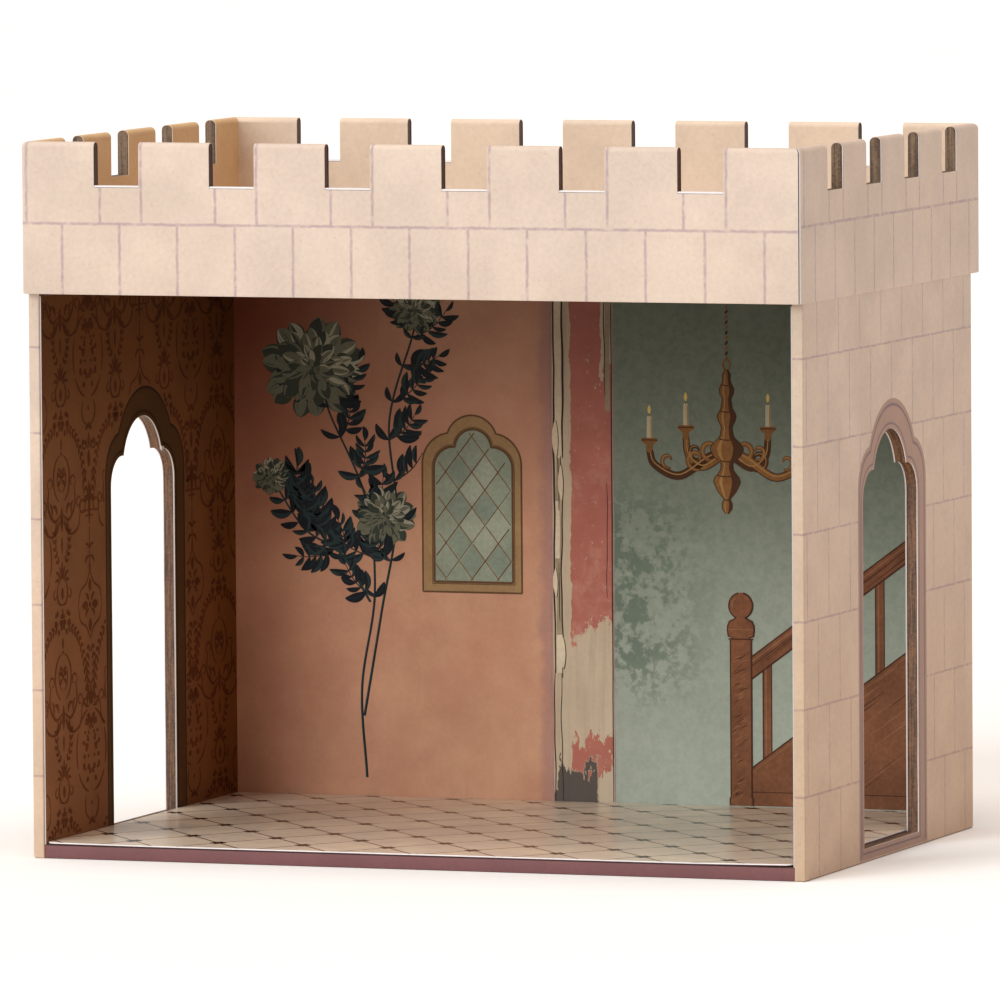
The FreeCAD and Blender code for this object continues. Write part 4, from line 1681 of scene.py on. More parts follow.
@dataclass
class Damask:
    """A half-drop damask: framed bouquets, lozenges, vases, garlands and acanthus."""

    card: SideCard
    across: float = 57.5
    drop: float = 80.75
    first: tuple[float, float] = (-61.5, 201.0)
    between: float = 30.0
    margin: float = 0.8

    def bouquet(self, reach: tuple[float, float], spots: int, seed: int) -> list[Stroke]:
        """A loose bunch of petals inside an oval, alike on both sides."""
        draw = np.random.default_rng(seed)
        turn = draw.uniform(-90, 90, spots)
        far = np.sqrt(draw.uniform(0.03, 1, spots))
        at = far[:, None] * np.stack([np.cos(np.radians(turn)), np.sin(np.radians(turn))],
                                     -1) * reach
        sizes = draw.uniform(1.6, 3.0, spots)
        angles = turn + draw.uniform(-40, 40, spots)
        return mirrored([blob(tuple(a), s, g) for a, s, g in zip(at, sizes, angles)])

    def dotted(self, knots: list[tuple[float, float]], count: int, size: float,
               ) -> list[Stroke]:
        """A garland: leaves in pairs along a curve."""
        path = smooth_path(knots, count)
        way = np.degrees(np.arctan2(*np.gradient(path, axis=0).T[::-1]))
        return [leaf(tuple(at), angle + turn, size, size * 0.5, 0.1, 6)
                for at, angle in zip(path, way) for turn in (38, -38)]

    def column(self) -> list[Stroke]:
        """The main column, from its oval's middle down to the next."""
        w = 0.95
        ovals = [(arc((0, 0), (16.0, 17.2), a, b, 14), swell(14, w + 0.25, 0.5))
                 for a, b in ((-78, -30), (-24, 28), (34, 76))]
        ovals += [(arc((0, -22.5), (7.2, 6.0), -84, 40, 12), swell(12, w, 0.5)),
                  (arc((0, 16), (10.5, 6.5), 10, 82, 9), swell(9, w, 0.5))]
        side = ovals + [
            leaf((1.2, 18.6), 62, 7.5, 1.9), leaf((2.0, 18.2), 32, 8.0, 1.7, -0.2),
            leaf((0.6, -29.4), -20, 3.0, 1.9), scroll((5.2, -35.6), 3.2, 150, 0.9, w),
            leaf((1.0, -38.2), 12, 7.0, 1.8, 0.3), leaf((2.4, -47.0), -58, 9.0, 1.6, 0.1),
            leaf((1.4, -52.4), -74, 7.0, 1.4, -0.15), scroll((8.0, -60.5), 4.4, 120, 1.0, w),
            leaf((1.2, -57.0), -10, 6.5, 1.6, -0.25),
            (line((-0.2, -63.0), (5.0, -63.4), 5), np.full(5, 0.7)),
            (line((-0.2, -65.2), (3.8, -65.6), 5), np.full(5, 0.7)),
            leaf((0.4, -82.0), -35, 5.5, 1.5, 0.2), leaf((0.3, -79.0), 25, 4.5, 1.2, 0.2),
            (smooth_path([(0, -88), (4.0, -93), (10.5, -96), (12.8, -102)], 12),
             swell(12, w, 0.5)),
            (smooth_path([(12.8, -102), (10.5, -108), (4.0, -111), (0, -116)], 12),
             swell(12, w, 0.5)),
            leaf((2.2, -102), 0, 6.4, 3.6, 0.0), leaf((1.6, -100.4), 45, 4.6, 1.6),
            leaf((1.6, -103.6), -45, 4.6, 1.6),
            leaf((1.0, -137.5), -62, 6.0, 1.6, 0.2), leaf((2.0, -139.0), 55, 5.0, 1.4),
        ]
        side += self.dotted([(1.6, -118.5), (3.4, -125), (2.6, -132)], 5, 3.0)
        middle = [leaf((0, 18.4), 90, 8.4, 2.0, 0.0), blob((0, -29.8), 2.6, 90),
                  blob((0, -22.5), 1.8, 90), leaf((0, -31.5), -90, 6.5, 1.7, 0.0),
                  leaf((0, -38.5), -90, 7.2, 2.9, 0.0), leaf((0, -51.0), -90, 18.0, 2.3, 0.0),
                  (line((0, -70), (0, -84), 6), np.full(6, 0.55)),
                  leaf((0, -84.0), -90, 5.2, 1.8, 0.0), leaf((0, -96.6), 90, 5.4, 3.2, 0.0),
                  leaf((0, -107.6), -90, 5.4, 3.2, 0.0), blob((0, -103.2), 2.4, 90),
                  leaf((0, -133.5), -90, 5.5, 1.6, 0.0)]
        return (middle + mirrored(side) + self.bouquet((8.5, 12.5), 22, SEED)
                + [(p + (0, 12.0), w * 0.9) for p, w in self.bouquet((4.0, 2.2), 5, SEED + 1)])

    def filler(self) -> list[Stroke]:
        """The narrow column between, from its acanthus up to the next."""
        w = 0.9
        side = [
            (smooth_path([(0.8, 1.0), (8.0, -1.5), (14.5, 4.5), (13.5, 13.0)], 16),
             swell(16, 1.5, 0.6)),
            (smooth_path([(1.0, -1.5), (9.0, -7.5), (18.0, -5.0), (20.5, 4.0)], 16),
             swell(16, 1.1, 0.6)),
            scroll((11.8, 13.5), 3.4, -20, 0.8, w), scroll((18.2, 4.6), 3.0, -10, 0.9, w),
            leaf((3.0, -1.0), -35, 9.0, 2.2, -0.25), leaf((6.0, -1.5), -58, 7.0, 1.8, -0.2),
            leaf((5.0, 1.0), 38, 6.0, 1.9, 0.25), leaf((10.5, 0.6), 70, 6.0, 1.5, 0.2),
            (arc((0, 15.5), (8.6, 9.6), -70, 80, 16), swell(16, 1.1, 0.5)),
            (arc((0, 15.5), (4.6, 5.4), -80, 60, 10), swell(10, 0.7, 0.5)),
            leaf((0.8, 16.0), 15, 3.4, 1.9), leaf((0.8, 17.0), 55, 3.2, 1.7),
            leaf((0.8, 14.6), -40, 3.2, 1.7),
            (smooth_path([(0, 44.8), (3.8, 45.8), (5.6, 50.0), (4.2, 54.0)], 10),
             swell(10, 1.2, 0.4)),
            leaf((1.2, 55.0), 70, 6.0, 1.6), leaf((2.0, 54.6), 40, 6.5, 1.5),
            leaf((2.6, 53.8), 10, 5.2, 1.4, 0.2), scroll((7.6, 49.0), 2.4, 100, -0.8, 0.8),
        ]
        side += [blob((3.0 + 3.0 * math.cos(k), 38.0 + 3.4 * math.sin(2.3 * k)), 2.5, 57 * k)
                 for k in range(9)]
        side += self.dotted([(6.0, 36.0), (14.0, 32.5), (20.0, 26.0), (24.0, 17.0),
                             (26.0, 7.0)], 12, 3.3)
        side += self.dotted([(4.0, 62.0), (7.5, 67.0), (8.0, 73.0)], 5, 3.0)
        middle = [leaf((0, -6.0), 90, 10.0, 3.0, 0.0), leaf((0, -8.0), -90, 7.0, 1.6, 0.0),
                  blob((0, 14.6), 2.2, 90), leaf((0, 27.0), 90, 4.6, 1.7, 0.0),
                  blob((0, 24.8), 1.6, 90), leaf((0, 43.4), -90, 2.6, 1.4, 0.0),
                  leaf((0, 47.0), 90, 5.0, 2.6, 0.0), leaf((0, 55.5), 90, 7.2, 1.8, 0.0)]
        return middle + mirrored(side)

    def draw(self, drawing: Drawing) -> None:
        """Repeats both columns over the card, and keeps what falls on it.

        Args:
            drawing: The ink to add to.
        """
        column, filler = self.column(), self.filler()
        p0, z0 = self.first
        for k in range(-2, 5):
            for row in range(-2, 3):
                at = (p0 + self.across * k, z0 + 2 * self.drop * row + self.drop * (k % 2))
                self.lay(drawing, column, at)
            for row in range(-3, 2):
                at = (p0 + self.between * (1 if k % 2 else -1) + 2 * self.across * (k // 2),
                      z0 - 64.0 + self.drop * (row + 1))
                self.lay(drawing, filler, at)

    def lay(self, drawing: Drawing, strokes: list[Stroke], at: tuple[float, float]) -> None:
        """Draws one copy of a column, cut off at the card's edges and the surround."""
        card, m = self.card, self.margin
        low = np.array([card.low + m, card.foot + m])
        high = np.array([card.high - m, card.top - m])
        if not card.low - 40 < at[0] < card.high + 40:
            return
        for path, width in strokes:
            moved = path + at
            inside = ((moved > low) & (moved < high)).all(-1)
            inside &= ~covered(DOOR_SURROUND.grown(m), moved)
            run = longest_run(inside)
            if run.stop - run.start >= 4:
                drawing.stroke(moved[run], width[run])

    def build(self, palette: Palette) -> bpy.types.Object:
        """Makes the card's ink."""
        surface = Surface(self.card.node.replace("wall_card", "damask_ink"))
        plane = Plane.LEFT if self.card.side < 0 else Plane.RIGHT
        self.draw(Drawing(plane, surface))
        return surface.piece([palette["damask_ink"]], "damask_card", crease=0)


@dataclass
class LeadedWindow:
    """The painted window: a three-lobed frame and diamond leads over green glass."""

    glass: Arch = Arch(-52.75, 17.35, 145.1, 8.65, 8.7, 8.0, 153.2)
    frame: Arch = Arch(-53.35, 22.25, 146.5, 8.75, 13.5, 11.7, 155.7)
    sill: float = 92.7
    glass_foot: float = 97.3
    diamond: tuple[float, float] = (11.6, 14.9)
    lead_middle: float = -53.35
    lead_foot: float = 98.7
    slots: tuple[str, ...] = ("window_frame", "window_line", "window_glass", "window_lead",
                              "glass_pale", "glass_dark")

    def build(self, palette: Palette) -> bpy.types.Object:
        """Makes the window."""
        surface = Surface("painted_window")
        drawing = Drawing(Plane.BACK, surface)
        outer, inner = self.frame.outline(self.sill), self.glass.outline(self.glass_foot)
        drawing.strip(outer, inner, 0, 0.03)
        ends = (outer[0], outer[-1], inner[0], inner[-1])
        drawing.strip(line(ends[0], ends[1], 9), line(ends[2], ends[3], 9), 0, 0.03)
        half = len(inner) // 2
        drawing.strip(inner[:half + 1], inner[half:][::-1], 2, 0.03)
        for arch, foot, width in ((self.frame.grown(-0.25), self.sill + 0.25, 0.75),
                                  (self.glass.grown(0.9), self.glass_foot - 0.9, 0.35),
                                  (self.glass.grown(0.1), self.glass_foot - 0.1, 0.95)):
            path = arch.outline(foot)
            drawing.stroke(path, width, 1, 0.05)
            drawing.stroke(line(path[-1], path[0], 9), width, 1, 0.05)
        wide, tall = self.diamond
        self.panes(drawing)
        for k in range(-9, 12):
            for lean in (1, -1):
                z = np.linspace(self.glass_foot, 162, 90)
                p = self.lead_middle + wide * (k + lean * (z - self.lead_foot) / tall)
                path = np.stack([p, z], -1)
                run = longest_run(covered(self.glass.grown(-0.4), path, self.glass_foot))
                if run.stop - run.start > 3:
                    shown = path[run][:: 3 if run.stop - run.start > 12 else 1]
                    drawing.stroke(shown + (0.35, 0.0), 0.35, 4, 0.055)
                    drawing.stroke(shown, 0.50, 1 if lean > 0 else 3, 0.06)
        return surface.piece([palette[name] for name in self.slots], "mural_card", crease=0)

    def panes(self, drawing: Drawing) -> None:
        """Tones some whole diamonds: each is a strip from its foot over its sides to its top."""
        wide, tall = self.diamond
        draw = np.random.default_rng(SEED + 3)
        for a in range(-4, 5):
            for b in range(0, 11):
                if (a + b) % 2 == 0:
                    continue
                p, z = self.lead_middle + wide * a / 2, self.lead_foot + tall * b / 2
                left = bent_line([(p, z - tall / 2), (p - wide / 2, z), (p, z + tall / 2)])
                right = bent_line([(p, z - tall / 2), (p + wide / 2, z), (p, z + tall / 2)])
                inside = covered(self.glass, np.vstack([left, right]), self.glass_foot)
                tone = draw.integers(0, 5)
                if inside.all() and tone < 4:
                    drawing.strip(left, right, 4 + tone % 2, 0.035)


@dataclass
class PaintedStair:
    """The painted newel, handrail, balusters and stair side."""

    right: float = 159.6
    foot: float = 6.6
    slope: float = 0.735
    rail_top: tuple[float, float] = (69.8, 68.9)
    rail_deep: float = 9.3
    string_top: tuple[float, float] = (69.8, 22.6)
    first_baluster: float = 74.6
    baluster: float = 3.7
    spacing: float = 16.4
    side_streaks: int = 46
    rail_streaks: int = 12
    newel_streaks: int = 60
    slots: tuple[str, ...] = ("stair_wood", "stair_line", "stair_light")

    def at(self, start: tuple[float, float], p: float | Array, down: float = 0.0) -> Array:
        """Points on a sloping edge above the places p."""
        p = np.asarray(p, float)
        return np.stack([p, start[1] + self.slope * (p - start[0]) - down], -1)

    def build(self, palette: Palette) -> bpy.types.Object:
        """Makes the stair."""
        surface = Surface("painted_stair")
        drawing = Drawing(Plane.BACK, surface)
        run = np.linspace(self.rail_top[0] - 0.4, self.right, 12)
        under = self.at(self.string_top, run)
        drawing.strip(under, np.stack([run, np.full_like(run, self.foot)], -1), 0, 0.03)
        drawing.stroke(under, 0.6, 1, 0.06)
        drawing.stroke(under - (0, 2.0), 0.3, 2, 0.06)
        drawing.stroke(line((self.rail_top[0], 12.4), (self.right, 12.4), 8), 0.35, 1, 0.06)
        self.grain(drawing)
        start = self.first_baluster
        while start + self.baluster < self.right + 3:
            edges = np.minimum([start, start + self.baluster], self.right)
            low, high = self.at(self.string_top, edges), self.at(self.rail_top, edges,
                                                                 self.rail_deep)
            left, right = line(low[0], high[0], 6), line(low[1], high[1], 6)
            drawing.strip(left, right, 0, 0.03)
            drawing.stroke(left, 0.55, 1, 0.05)
            drawing.stroke(right, 0.4, 1, 0.05)
            drawing.stroke(left * 0.65 + right * 0.35, 0.5, 2, 0.045)
            start += self.spacing
        top, low = self.at(self.rail_top, run), self.at(self.rail_top, run, self.rail_deep)
        drawing.strip(top, low, 0, 0.05)
        for share, width, tone in ((0.0, 0.6, 1), (0.22, 0.5, 2), (0.42, 0.35, 1),
                                   (1.0, 0.7, 1)):
            drawing.stroke(top * (1 - share) + low * share, width, tone, 0.07)
        self.newel(drawing)
        return surface.piece([palette[name] for name in self.slots], "mural_card", crease=0)

    def grain(self, drawing: Drawing) -> None:
        """Fine brush streaks along the stair's side and the rail, darker and lighter."""
        draw = np.random.default_rng(SEED + 5)
        for _ in range(self.side_streaks):
            down = draw.uniform(1.5, 44.0)
            start = draw.uniform(self.rail_top[0] + 3, self.right - 22)
            part = np.linspace(start, start + draw.uniform(8, 20), 7)
            path = self.at(self.string_top, part, down)
            if path[:, 1].min() > 13.5:
                drawing.stroke(path, swell(7, draw.uniform(0.2, 0.5)), int(draw.integers(1, 3)),
                               0.045)
        for _ in range(self.rail_streaks):
            start = draw.uniform(self.rail_top[0] + 2, self.right - 24)
            part = np.linspace(start, start + 20, 7)
            path = self.at(self.rail_top, part, draw.uniform(4.5, 8.6))
            drawing.stroke(path, swell(7, 0.3), 1, 0.066)

    def newel(self, drawing: Drawing, middle: float = 65.0) -> None:
        """The post: half widths at heights, mirrored about its middle line."""
        z = np.array([6.6, 9.5, 10.2, 40, 73.5, 75.4, 76.6, 77.2, 79.8, 81.6, 83.4, 84.2, 84.9])
        half = np.array([5.3, 5.3, 4.85, 4.85, 4.85, 4.9, 4.0, 5.8, 6.1, 6.0, 5.2, 3.4, 2.4])
        ball = arc((0, 89.9), 5.5, -66, 90, 12)
        z, half = np.concatenate([z, ball[:, 1]]), np.concatenate([half, ball[:, 0]])
        left, right = np.stack([middle - half, z], -1), np.stack([middle + half, z], -1)
        drawing.strip(left, right, 0, 0.08)
        drawing.stroke(left[:-1] + (0.25, 0), 0.55, 1, 0.10)
        drawing.stroke(right[:-1] - (0.3, 0), 0.7, 1, 0.10)
        draw = np.random.default_rng(SEED + 6)
        for _ in range(self.newel_streaks):
            p, z0 = draw.uniform(60.8, 64.5), draw.uniform(9, 70)
            drawing.stroke(line((p, z0), (p + draw.uniform(2, 4.4), z0 + draw.uniform(1, 2.6)),
                                6), swell(6, draw.uniform(0.2, 0.45)),
                           int(draw.integers(1, 3)), 0.095)
        drawing.stroke(line((59.6, 76.0), (70.4, 76.0), 5), 0.6, 1, 0.10)
        drawing.stroke(line((59.2, 80.0), (70.8, 80.0), 5), 0.35, 2, 0.10)
        drawing.stroke(arc((64.4, 90.2), 3.2, 110, 200, 8), swell(8, 0.7), 2, 0.10)


@dataclass
class CandleLight:
    """A plain painted candle light: a turned stem on a chain, four arms and candles."""

    middle: float = 59.3
    links: int = 16
    arms: tuple[tuple[float, float, float], ...] = (
        (-34.0, 158.0, 143.5), (34.0, 158.0, 143.5), (-18.0, 163.5, 147.5),
        (18.0, 163.5, 147.5))
    slots: tuple[str, ...] = ("gilt", "gilt_dark", "gilt_light", "candle", "flame")

    def stem(self, drawing: Drawing) -> None:
        """The turned stem: half widths at heights, with a shaded and a lit side."""
        z = np.array([128, 130, 132.5, 134, 137, 141, 143, 146, 149, 152, 155, 157, 160, 164,
                      167, 169, 172, 176, 178, 180, 183.5, 186, 188])
        half = np.array([0.4, 1.9, 2.0, 1.0, 3.6, 5.6, 5.2, 2.6, 2.2, 5.8, 7.2, 6.2, 2.8, 2.0,
                         3.6, 3.9, 2.2, 1.6, 2.8, 2.9, 1.3, 1.5, 0.3])
        fine = np.linspace(z[0], z[-1], 60)
        wide = np.interp(fine, z, half)
        left = np.stack([self.middle - wide, fine], -1)
        right = np.stack([self.middle + wide, fine], -1)
        drawing.strip(left - (0.45, 0), right + (0.45, 0), 1, 0.056)
        drawing.strip(left, right, 0, 0.062)
        drawing.strip(left * 0.30 + right * 0.70, right, 1, 0.075)
        drawing.strip(left * 0.80 + right * 0.20, left * 0.68 + right * 0.32, 2, 0.075)
        for level, reach in ((134, 1.6), (143.8, 4.6), (150, 3.2), (159, 3.6), (170.6, 3.0),
                             (181.6, 2.2)):
            drawing.stroke(arc((self.middle, level + 0.6), (reach, 0.9), 200, 340, 7), 0.5, 1,
                           0.085)

    def chain(self, drawing: Drawing) -> None:
        """The chain: a ring, then small twisted links."""
        drawing.stroke(arc((self.middle, 190.0), (1.6, 2.2), 92, 448, 17), 0.8, 0, 0.06)
        for k in range(self.links):
            at = np.array([self.middle, 192.6 + 2.15 * k])
            drawing.stroke(line(at - (0.5, 0.9), at + (0.5, 0.9), 5), swell(5, 1.0, 0.5),
                           k % 2, 0.06)

    def arm(self, drawing: Drawing, reach: float, cup: float, deep: float) -> None:
        """One arm: a curve that dips from the stem and rises to its cup.

        Args:
            drawing: The ink to add to.
            reach: How far along the wall its cup is from the stem, signed.
            cup: Height of its cup.
            deep: Height of its lowest point.
        """
        m, s = self.middle, math.copysign(1.0, reach)
        path = smooth_path([(m + 2 * s, 154), (m + 0.28 * reach, 150.5),
                            (m + 0.62 * reach, deep), (m + 0.93 * reach, deep + 4.5),
                            (m + reach, cup - 4)], 26)
        drawing.stroke(path, taper(26, 4.2, 3.0), 1, 0.036)
        drawing.stroke(path, taper(26, 3.2, 2.1), 0, 0.042)
        drawing.stroke(path + (0.1, 0.55), taper(26, 0.6, 0.4), 2, 0.05)
        for share, rise, size, turns in ((0.40, 7.0, 4.6, 0.85), (0.76, 6.4, 3.4, 0.8)):
            curl, width = scroll((m + share * reach, deep + rise), size, 250 if s > 0 else 290,
                                 turns * s, 0.42 * size)
            drawing.stroke(curl, width + 0.4, 1, 0.038)
            drawing.stroke(curl, width, 0, 0.045)
            drawing.stroke(curl[3:-4] + (0, 0.2), 0.3, 2, 0.052)
        at = m + reach
        z = np.array([cup - 5, cup - 3.6, cup - 2, cup - 1, cup, cup + 1.1])
        half = np.array([0.7, 1.5, 1.3, 2.6, 3.7, 3.2])
        drawing.strip(np.stack([at - half, z], -1), np.stack([at + half, z], -1), 0, 0.06)
        drawing.stroke(line((at - 3.4, cup + 0.2), (at + 3.4, cup + 0.2), 4), 0.5, 1, 0.07)
        stick = np.array([cup + 1.1, cup + 5, cup + 9.6, cup + 10.4])
        body = np.array([1.15, 1.1, 1.1, 0.5])
        drawing.strip(np.stack([at - body, stick], -1), np.stack([at + body, stick], -1), 3,
                      0.05)
        drawing.stroke(line((at + 0.75, cup + 1.2), (at + 0.75, cup + 9.4), 4), 0.45, 2, 0.06)
        drawing.stroke(line((at, cup + 10), (at, cup + 11.6), 3), 0.3, 1, 0.06)
        drawing.stroke(*leaf((at, cup + 11.0), 90, 3.8, 1.5, 0.0), 4, 0.065)

    def build(self, palette: Palette) -> bpy.types.Object:
        """Makes the candle light."""
        surface = Surface("painted_candle_light")
        drawing = Drawing(Plane.BACK, surface)
        self.chain(drawing)
        for reach, cup, deep in self.arms:
            self.arm(drawing, reach, cup, deep)
        self.stem(drawing)
        return surface.piece([palette[name] for name in self.slots], "mural_card", crease=0)


@dataclass
class PaintedBough:
    """A painted bough of the maker's own: laurel leaves and round layered blossoms."""

    stems: tuple[tuple[tuple[float, float], ...], ...] = (
        ((-101, 14), (-103, 52), (-97, 92), (-101, 132), (-117, 168), (-120, 184)),
        ((-102, 40), (-94, 84), (-87, 124), (-90, 164), (-80, 198), (-77, 208)),
        ((-99, 88), (-112, 108), (-128, 118), (-141, 136)))
    blossoms: tuple[tuple[float, float, float], ...] = (
        (-124.0, 186.0, 23.0), (-92.0, 124.0, 14.0), (-78.0, 211.0, 11.5), (-143, 140, 8.5))
    rings: tuple[tuple[int, float, float], ...] = (
        (15, 0.44, 1.0), (14, 0.32, 0.84), (13, 0.20, 0.68), (11, 0.10, 0.50),
        (8, 0.03, 0.33), (5, 0.0, 0.17))
    lowest_leaf: float = 84.0
    slots: tuple[str, ...] = ("leaf_dark", "leaf_mid", "petal_dark", "petal_mid",
                              "petal_light", "twig")

    def blossom(self, drawing: Drawing, p: float, z: float, r: float,
                draw: np.random.Generator) -> None:
        """A round flower: rings of petals, each a dark bed under a fan of fine brush lines.

        Args:
            drawing: The ink to add to.
            p: Place along the wall.
            z: Height.
            r: Radius.
            draw: The random draw for small changes.
        """
        for level, (count, start, stop) in enumerate(self.rings):
            turn = draw.uniform(0, 360)
            for k in range(count):
                a = math.radians(turn + 360 * k / count + draw.uniform(-7, 7))
                way = np.array([math.cos(a), math.sin(a) * 0.92])
                side = np.array([-way[1], way[0]])
                length = r * (stop - start) * draw.uniform(0.84, 1.10)
                base = np.array([p, z]) + way * r * start
                wide = 1.9 * r * (start + stop) / 2 * math.sin(math.pi / count) * 1.25
                t = np.linspace(0, 1, 10)
                bow = (draw.uniform(-0.10, 0.10) * length * t**2)[:, None] * side
                body = wide * np.sin(np.pi * np.clip(t, 0.02, 0.99)**1.35) ** 0.75
                path = line(base, base + way * length, 10) + bow
                lift = 0.030 + 0.008 * level
                drawing.stroke(path, body + 0.25, 2, lift)
                lit = 3 if way[0] * 0.3 + way[1] * 0.7 < -0.2 or level > 4 else 4
                for off in np.linspace(-0.36, 0.36, 5):
                    vein = path[1:] + side * (body[1:] * off)[:, None]
                    tone = draw.choice([3, lit, 2 if abs(off) < 0.1 else lit, 3])
                    drawing.stroke(vein, swell(9, body.max() * draw.uniform(0.12, 0.24), 0.6),
                                   int(tone), lift + 0.004)

    def foliage(self, drawing: Drawing, knots: tuple[tuple[float, float], ...],
                draw: np.random.Generator) -> None:
        """A stem with twigs to both sides, their leaves closer together higher up."""
        path = smooth_path(list(knots), 60)
        drawing.stroke(path, taper(60, 1.15, 0.7), 1, 0.03)
        drawing.stroke(path + (0.3, 0), taper(60, 0.45, 0.3), 0, 0.035)
        way = np.degrees(np.arctan2(*np.gradient(path, axis=0).T[::-1]))
        for k in range(18, 58, 5):
            if path[k, 1] < self.lowest_leaf:
                continue
            side = 1 if draw.uniform() < 0.5 else -1
            self.twig(drawing, path[k], way[k] + side * draw.uniform(28, 60),
                      draw.uniform(13, 24), side, draw)
            for turn in (-side, side):
                self.laurel(drawing, tuple(path[k] + draw.uniform(-0.6, 0.6, 2)),
                            way[k] + turn * draw.uniform(24, 66), draw.uniform(6, 11), turn,
                            draw)

    def twig(self, drawing: Drawing, base: Array, angle: float, length: float, side: int,
             draw: np.random.Generator) -> None:
        """A short twig with leaves along both sides and one at its tip."""
        path, _ = leaf(tuple(base), angle, length, 0.0, 0.10 * side, 14)
        drawing.stroke(path, taper(14, 0.7, 0.3), 5, 0.034)
        way = np.degrees(np.arctan2(*np.gradient(path, axis=0).T[::-1]))
        for k in range(3, 14, 2):
            for turn in ((0,) if k == 13 else (1, -1)):
                size = draw.uniform(6.0, 10.5) * (1.15 - 0.35 * k / 13)
                self.laurel(drawing, tuple(path[k]), way[k] + turn * draw.uniform(30, 62), size,
                            turn or side, draw)

    def laurel(self, drawing: Drawing, base: tuple[float, float], angle: float,
               length: float, side: int, draw: np.random.Generator) -> None:
        """One leaf: a dark blade, on some a lighter half, and a fine rib.

        A leaf that would reach the painted window is left out.
        """
        path, width = leaf(base, angle, length, draw.uniform(0.28, 0.44) * length, 0.12 * side,
                           10)
        if covered(LeadedWindow.frame.grown(1.5), path, 90.0).any():
            return
        drawing.stroke(path, width, 0, 0.036)
        way = np.gradient(path, axis=0)
        way /= np.hypot(*way.T)[:, None]
        normal = np.stack([-way[:, 1], way[:, 0]], -1) * side
        if draw.uniform() < 0.55:
            drawing.strip(path, path + normal * width[:, None] * 0.42, 1, 0.04)
        drawing.stroke(path[1:-1], 0.16, 1, 0.044)

    def build(self, palette: Palette) -> bpy.types.Object:
        """Makes the bough."""
        surface = Surface("painted_bough")
        drawing = Drawing(Plane.BACK, surface)
        draw = np.random.default_rng(SEED + 7)
        for knots in self.stems:
            self.foliage(drawing, knots, draw)
        for p, z, r in self.blossoms:
            self.blossom(drawing, p, z, r, draw)
        return surface.piece([palette[name] for name in self.slots], "mural_card", crease=0)


@dataclass
class WeatheredUpright:
    """Split laths, gaps and flakes painted along the upright between the two walls."""

    laths: tuple[tuple[float, ...], ...] = (
        (-14.9, 148, 227.4, 3.1, 0, 0.2), (-15.0, 60, 150, 2.3, 2, 0.3),
        (-15.6, 108, 132, 2.6, 0, 0.2), (-14.6, 60, 76, 3.0, 0, 0.2),
        (7.0, 170, 227.4, 2.2, 2, 0.2))
    gaps: tuple[tuple[float, ...], ...] = (
        (-16.9, 60, 227.4, 0.75, 0.2), (-13.0, 150, 227.4, 0.85, 0.2),
        (-13.6, 58, 151, 0.55, 0.3), (-17.1, 6.5, 62, 0.45, 0.2), (-14.0, 6.5, 60, 0.35, 0.3),
        (5.6, 176, 227.4, 0.4, 0.2), (8.6, 6.5, 227.4, 0.45, 0.05),
        (-14.9, 128, 150, 0.4, 0.2), (-14.7, 82, 106, 0.35, 0.2), (6.4, 92, 140, 0.25, 0.2))
    borders: tuple[tuple[float, float], ...] = ((-18.6, 0.6), (9.3, 0.45))
    flakes: tuple[tuple[float, ...], ...] = (
        (-15.9, 150, 16, 2.6), (-13.6, 132, 15, 2.2), (-16.2, 92, 12, 2.0),
        (-13.2, 62, 13, 2.6))
    slots: tuple[str, ...] = ("lath_pale", "lath_gap", "lath_grey", "mauve_line")

    def wavering(self, p: float, low: float, high: float, sway: float, beat: float) -> Array:
        """A nearly upright line: p + sway sin(z / beat) + sway / 2 sin(2.7 z / beat)."""
        z = np.linspace(low, high, 26)
        return np.stack([p + sway * np.sin(z / beat) + sway / 2 * np.sin(2.7 * z / beat + p), z],
                        -1)

    def build(self, palette: Palette) -> bpy.types.Object:
        """Makes the laths."""
        surface = Surface("painted_laths")
        drawing = Drawing(Plane.BACK, surface)
        for p, low, high, width, tone, sway in self.laths:
            path = self.wavering(p, low, high, sway, 11.0)
            drawing.stroke(path, width * (0.85 + 0.15 * swell(26, 1.0, 0.3)), tone, 0.03)
        for p, low, high, width, sway in self.gaps:
            path = self.wavering(p, low, high, sway, 9.0)
            drawing.stroke(path, width * swell(26, 1.0, 0.25), 1, 0.045)
        for p, width in self.borders:
            drawing.stroke(self.wavering(p, 6.5, 227.4, 0.12, 14.0), width, 3, 0.03)
        for p, z, length, width in self.flakes:
            path, widths = leaf((p, z), 91, length, width, 0.02, 14)
            drawing.stroke(path + (0.22, -0.2), widths + 0.2, 1, 0.05)
            drawing.stroke(path, widths, 0, 0.06)
        return surface.piece([palette[name] for name in self.slots], "mural_card", crease=0)


@dataclass
class TornFleck:
    """A fleck of torn white paper at the left door's back cusp."""

    def build(self, palette: Palette) -> bpy.types.Object:
        """Makes the fleck."""
        surface = Surface("torn_paper_fleck")
        drawing = Drawing(Plane.LEFT, surface)
        p, z = DOOR.cusp()
        base = (DOOR.middle + p - 0.3, z - 0.6)
        drawing.stroke(*leaf(base, 20, 3.0, 1.6, 0.1), 0, 0.12)
        drawing.stroke(*leaf(base, 78, 1.9, 1.0, 0.1), 0, 0.10)
        return surface.piece([palette["edge_white"]], "damask_card")


# --- Studio ---------------------------------------------------------------------------


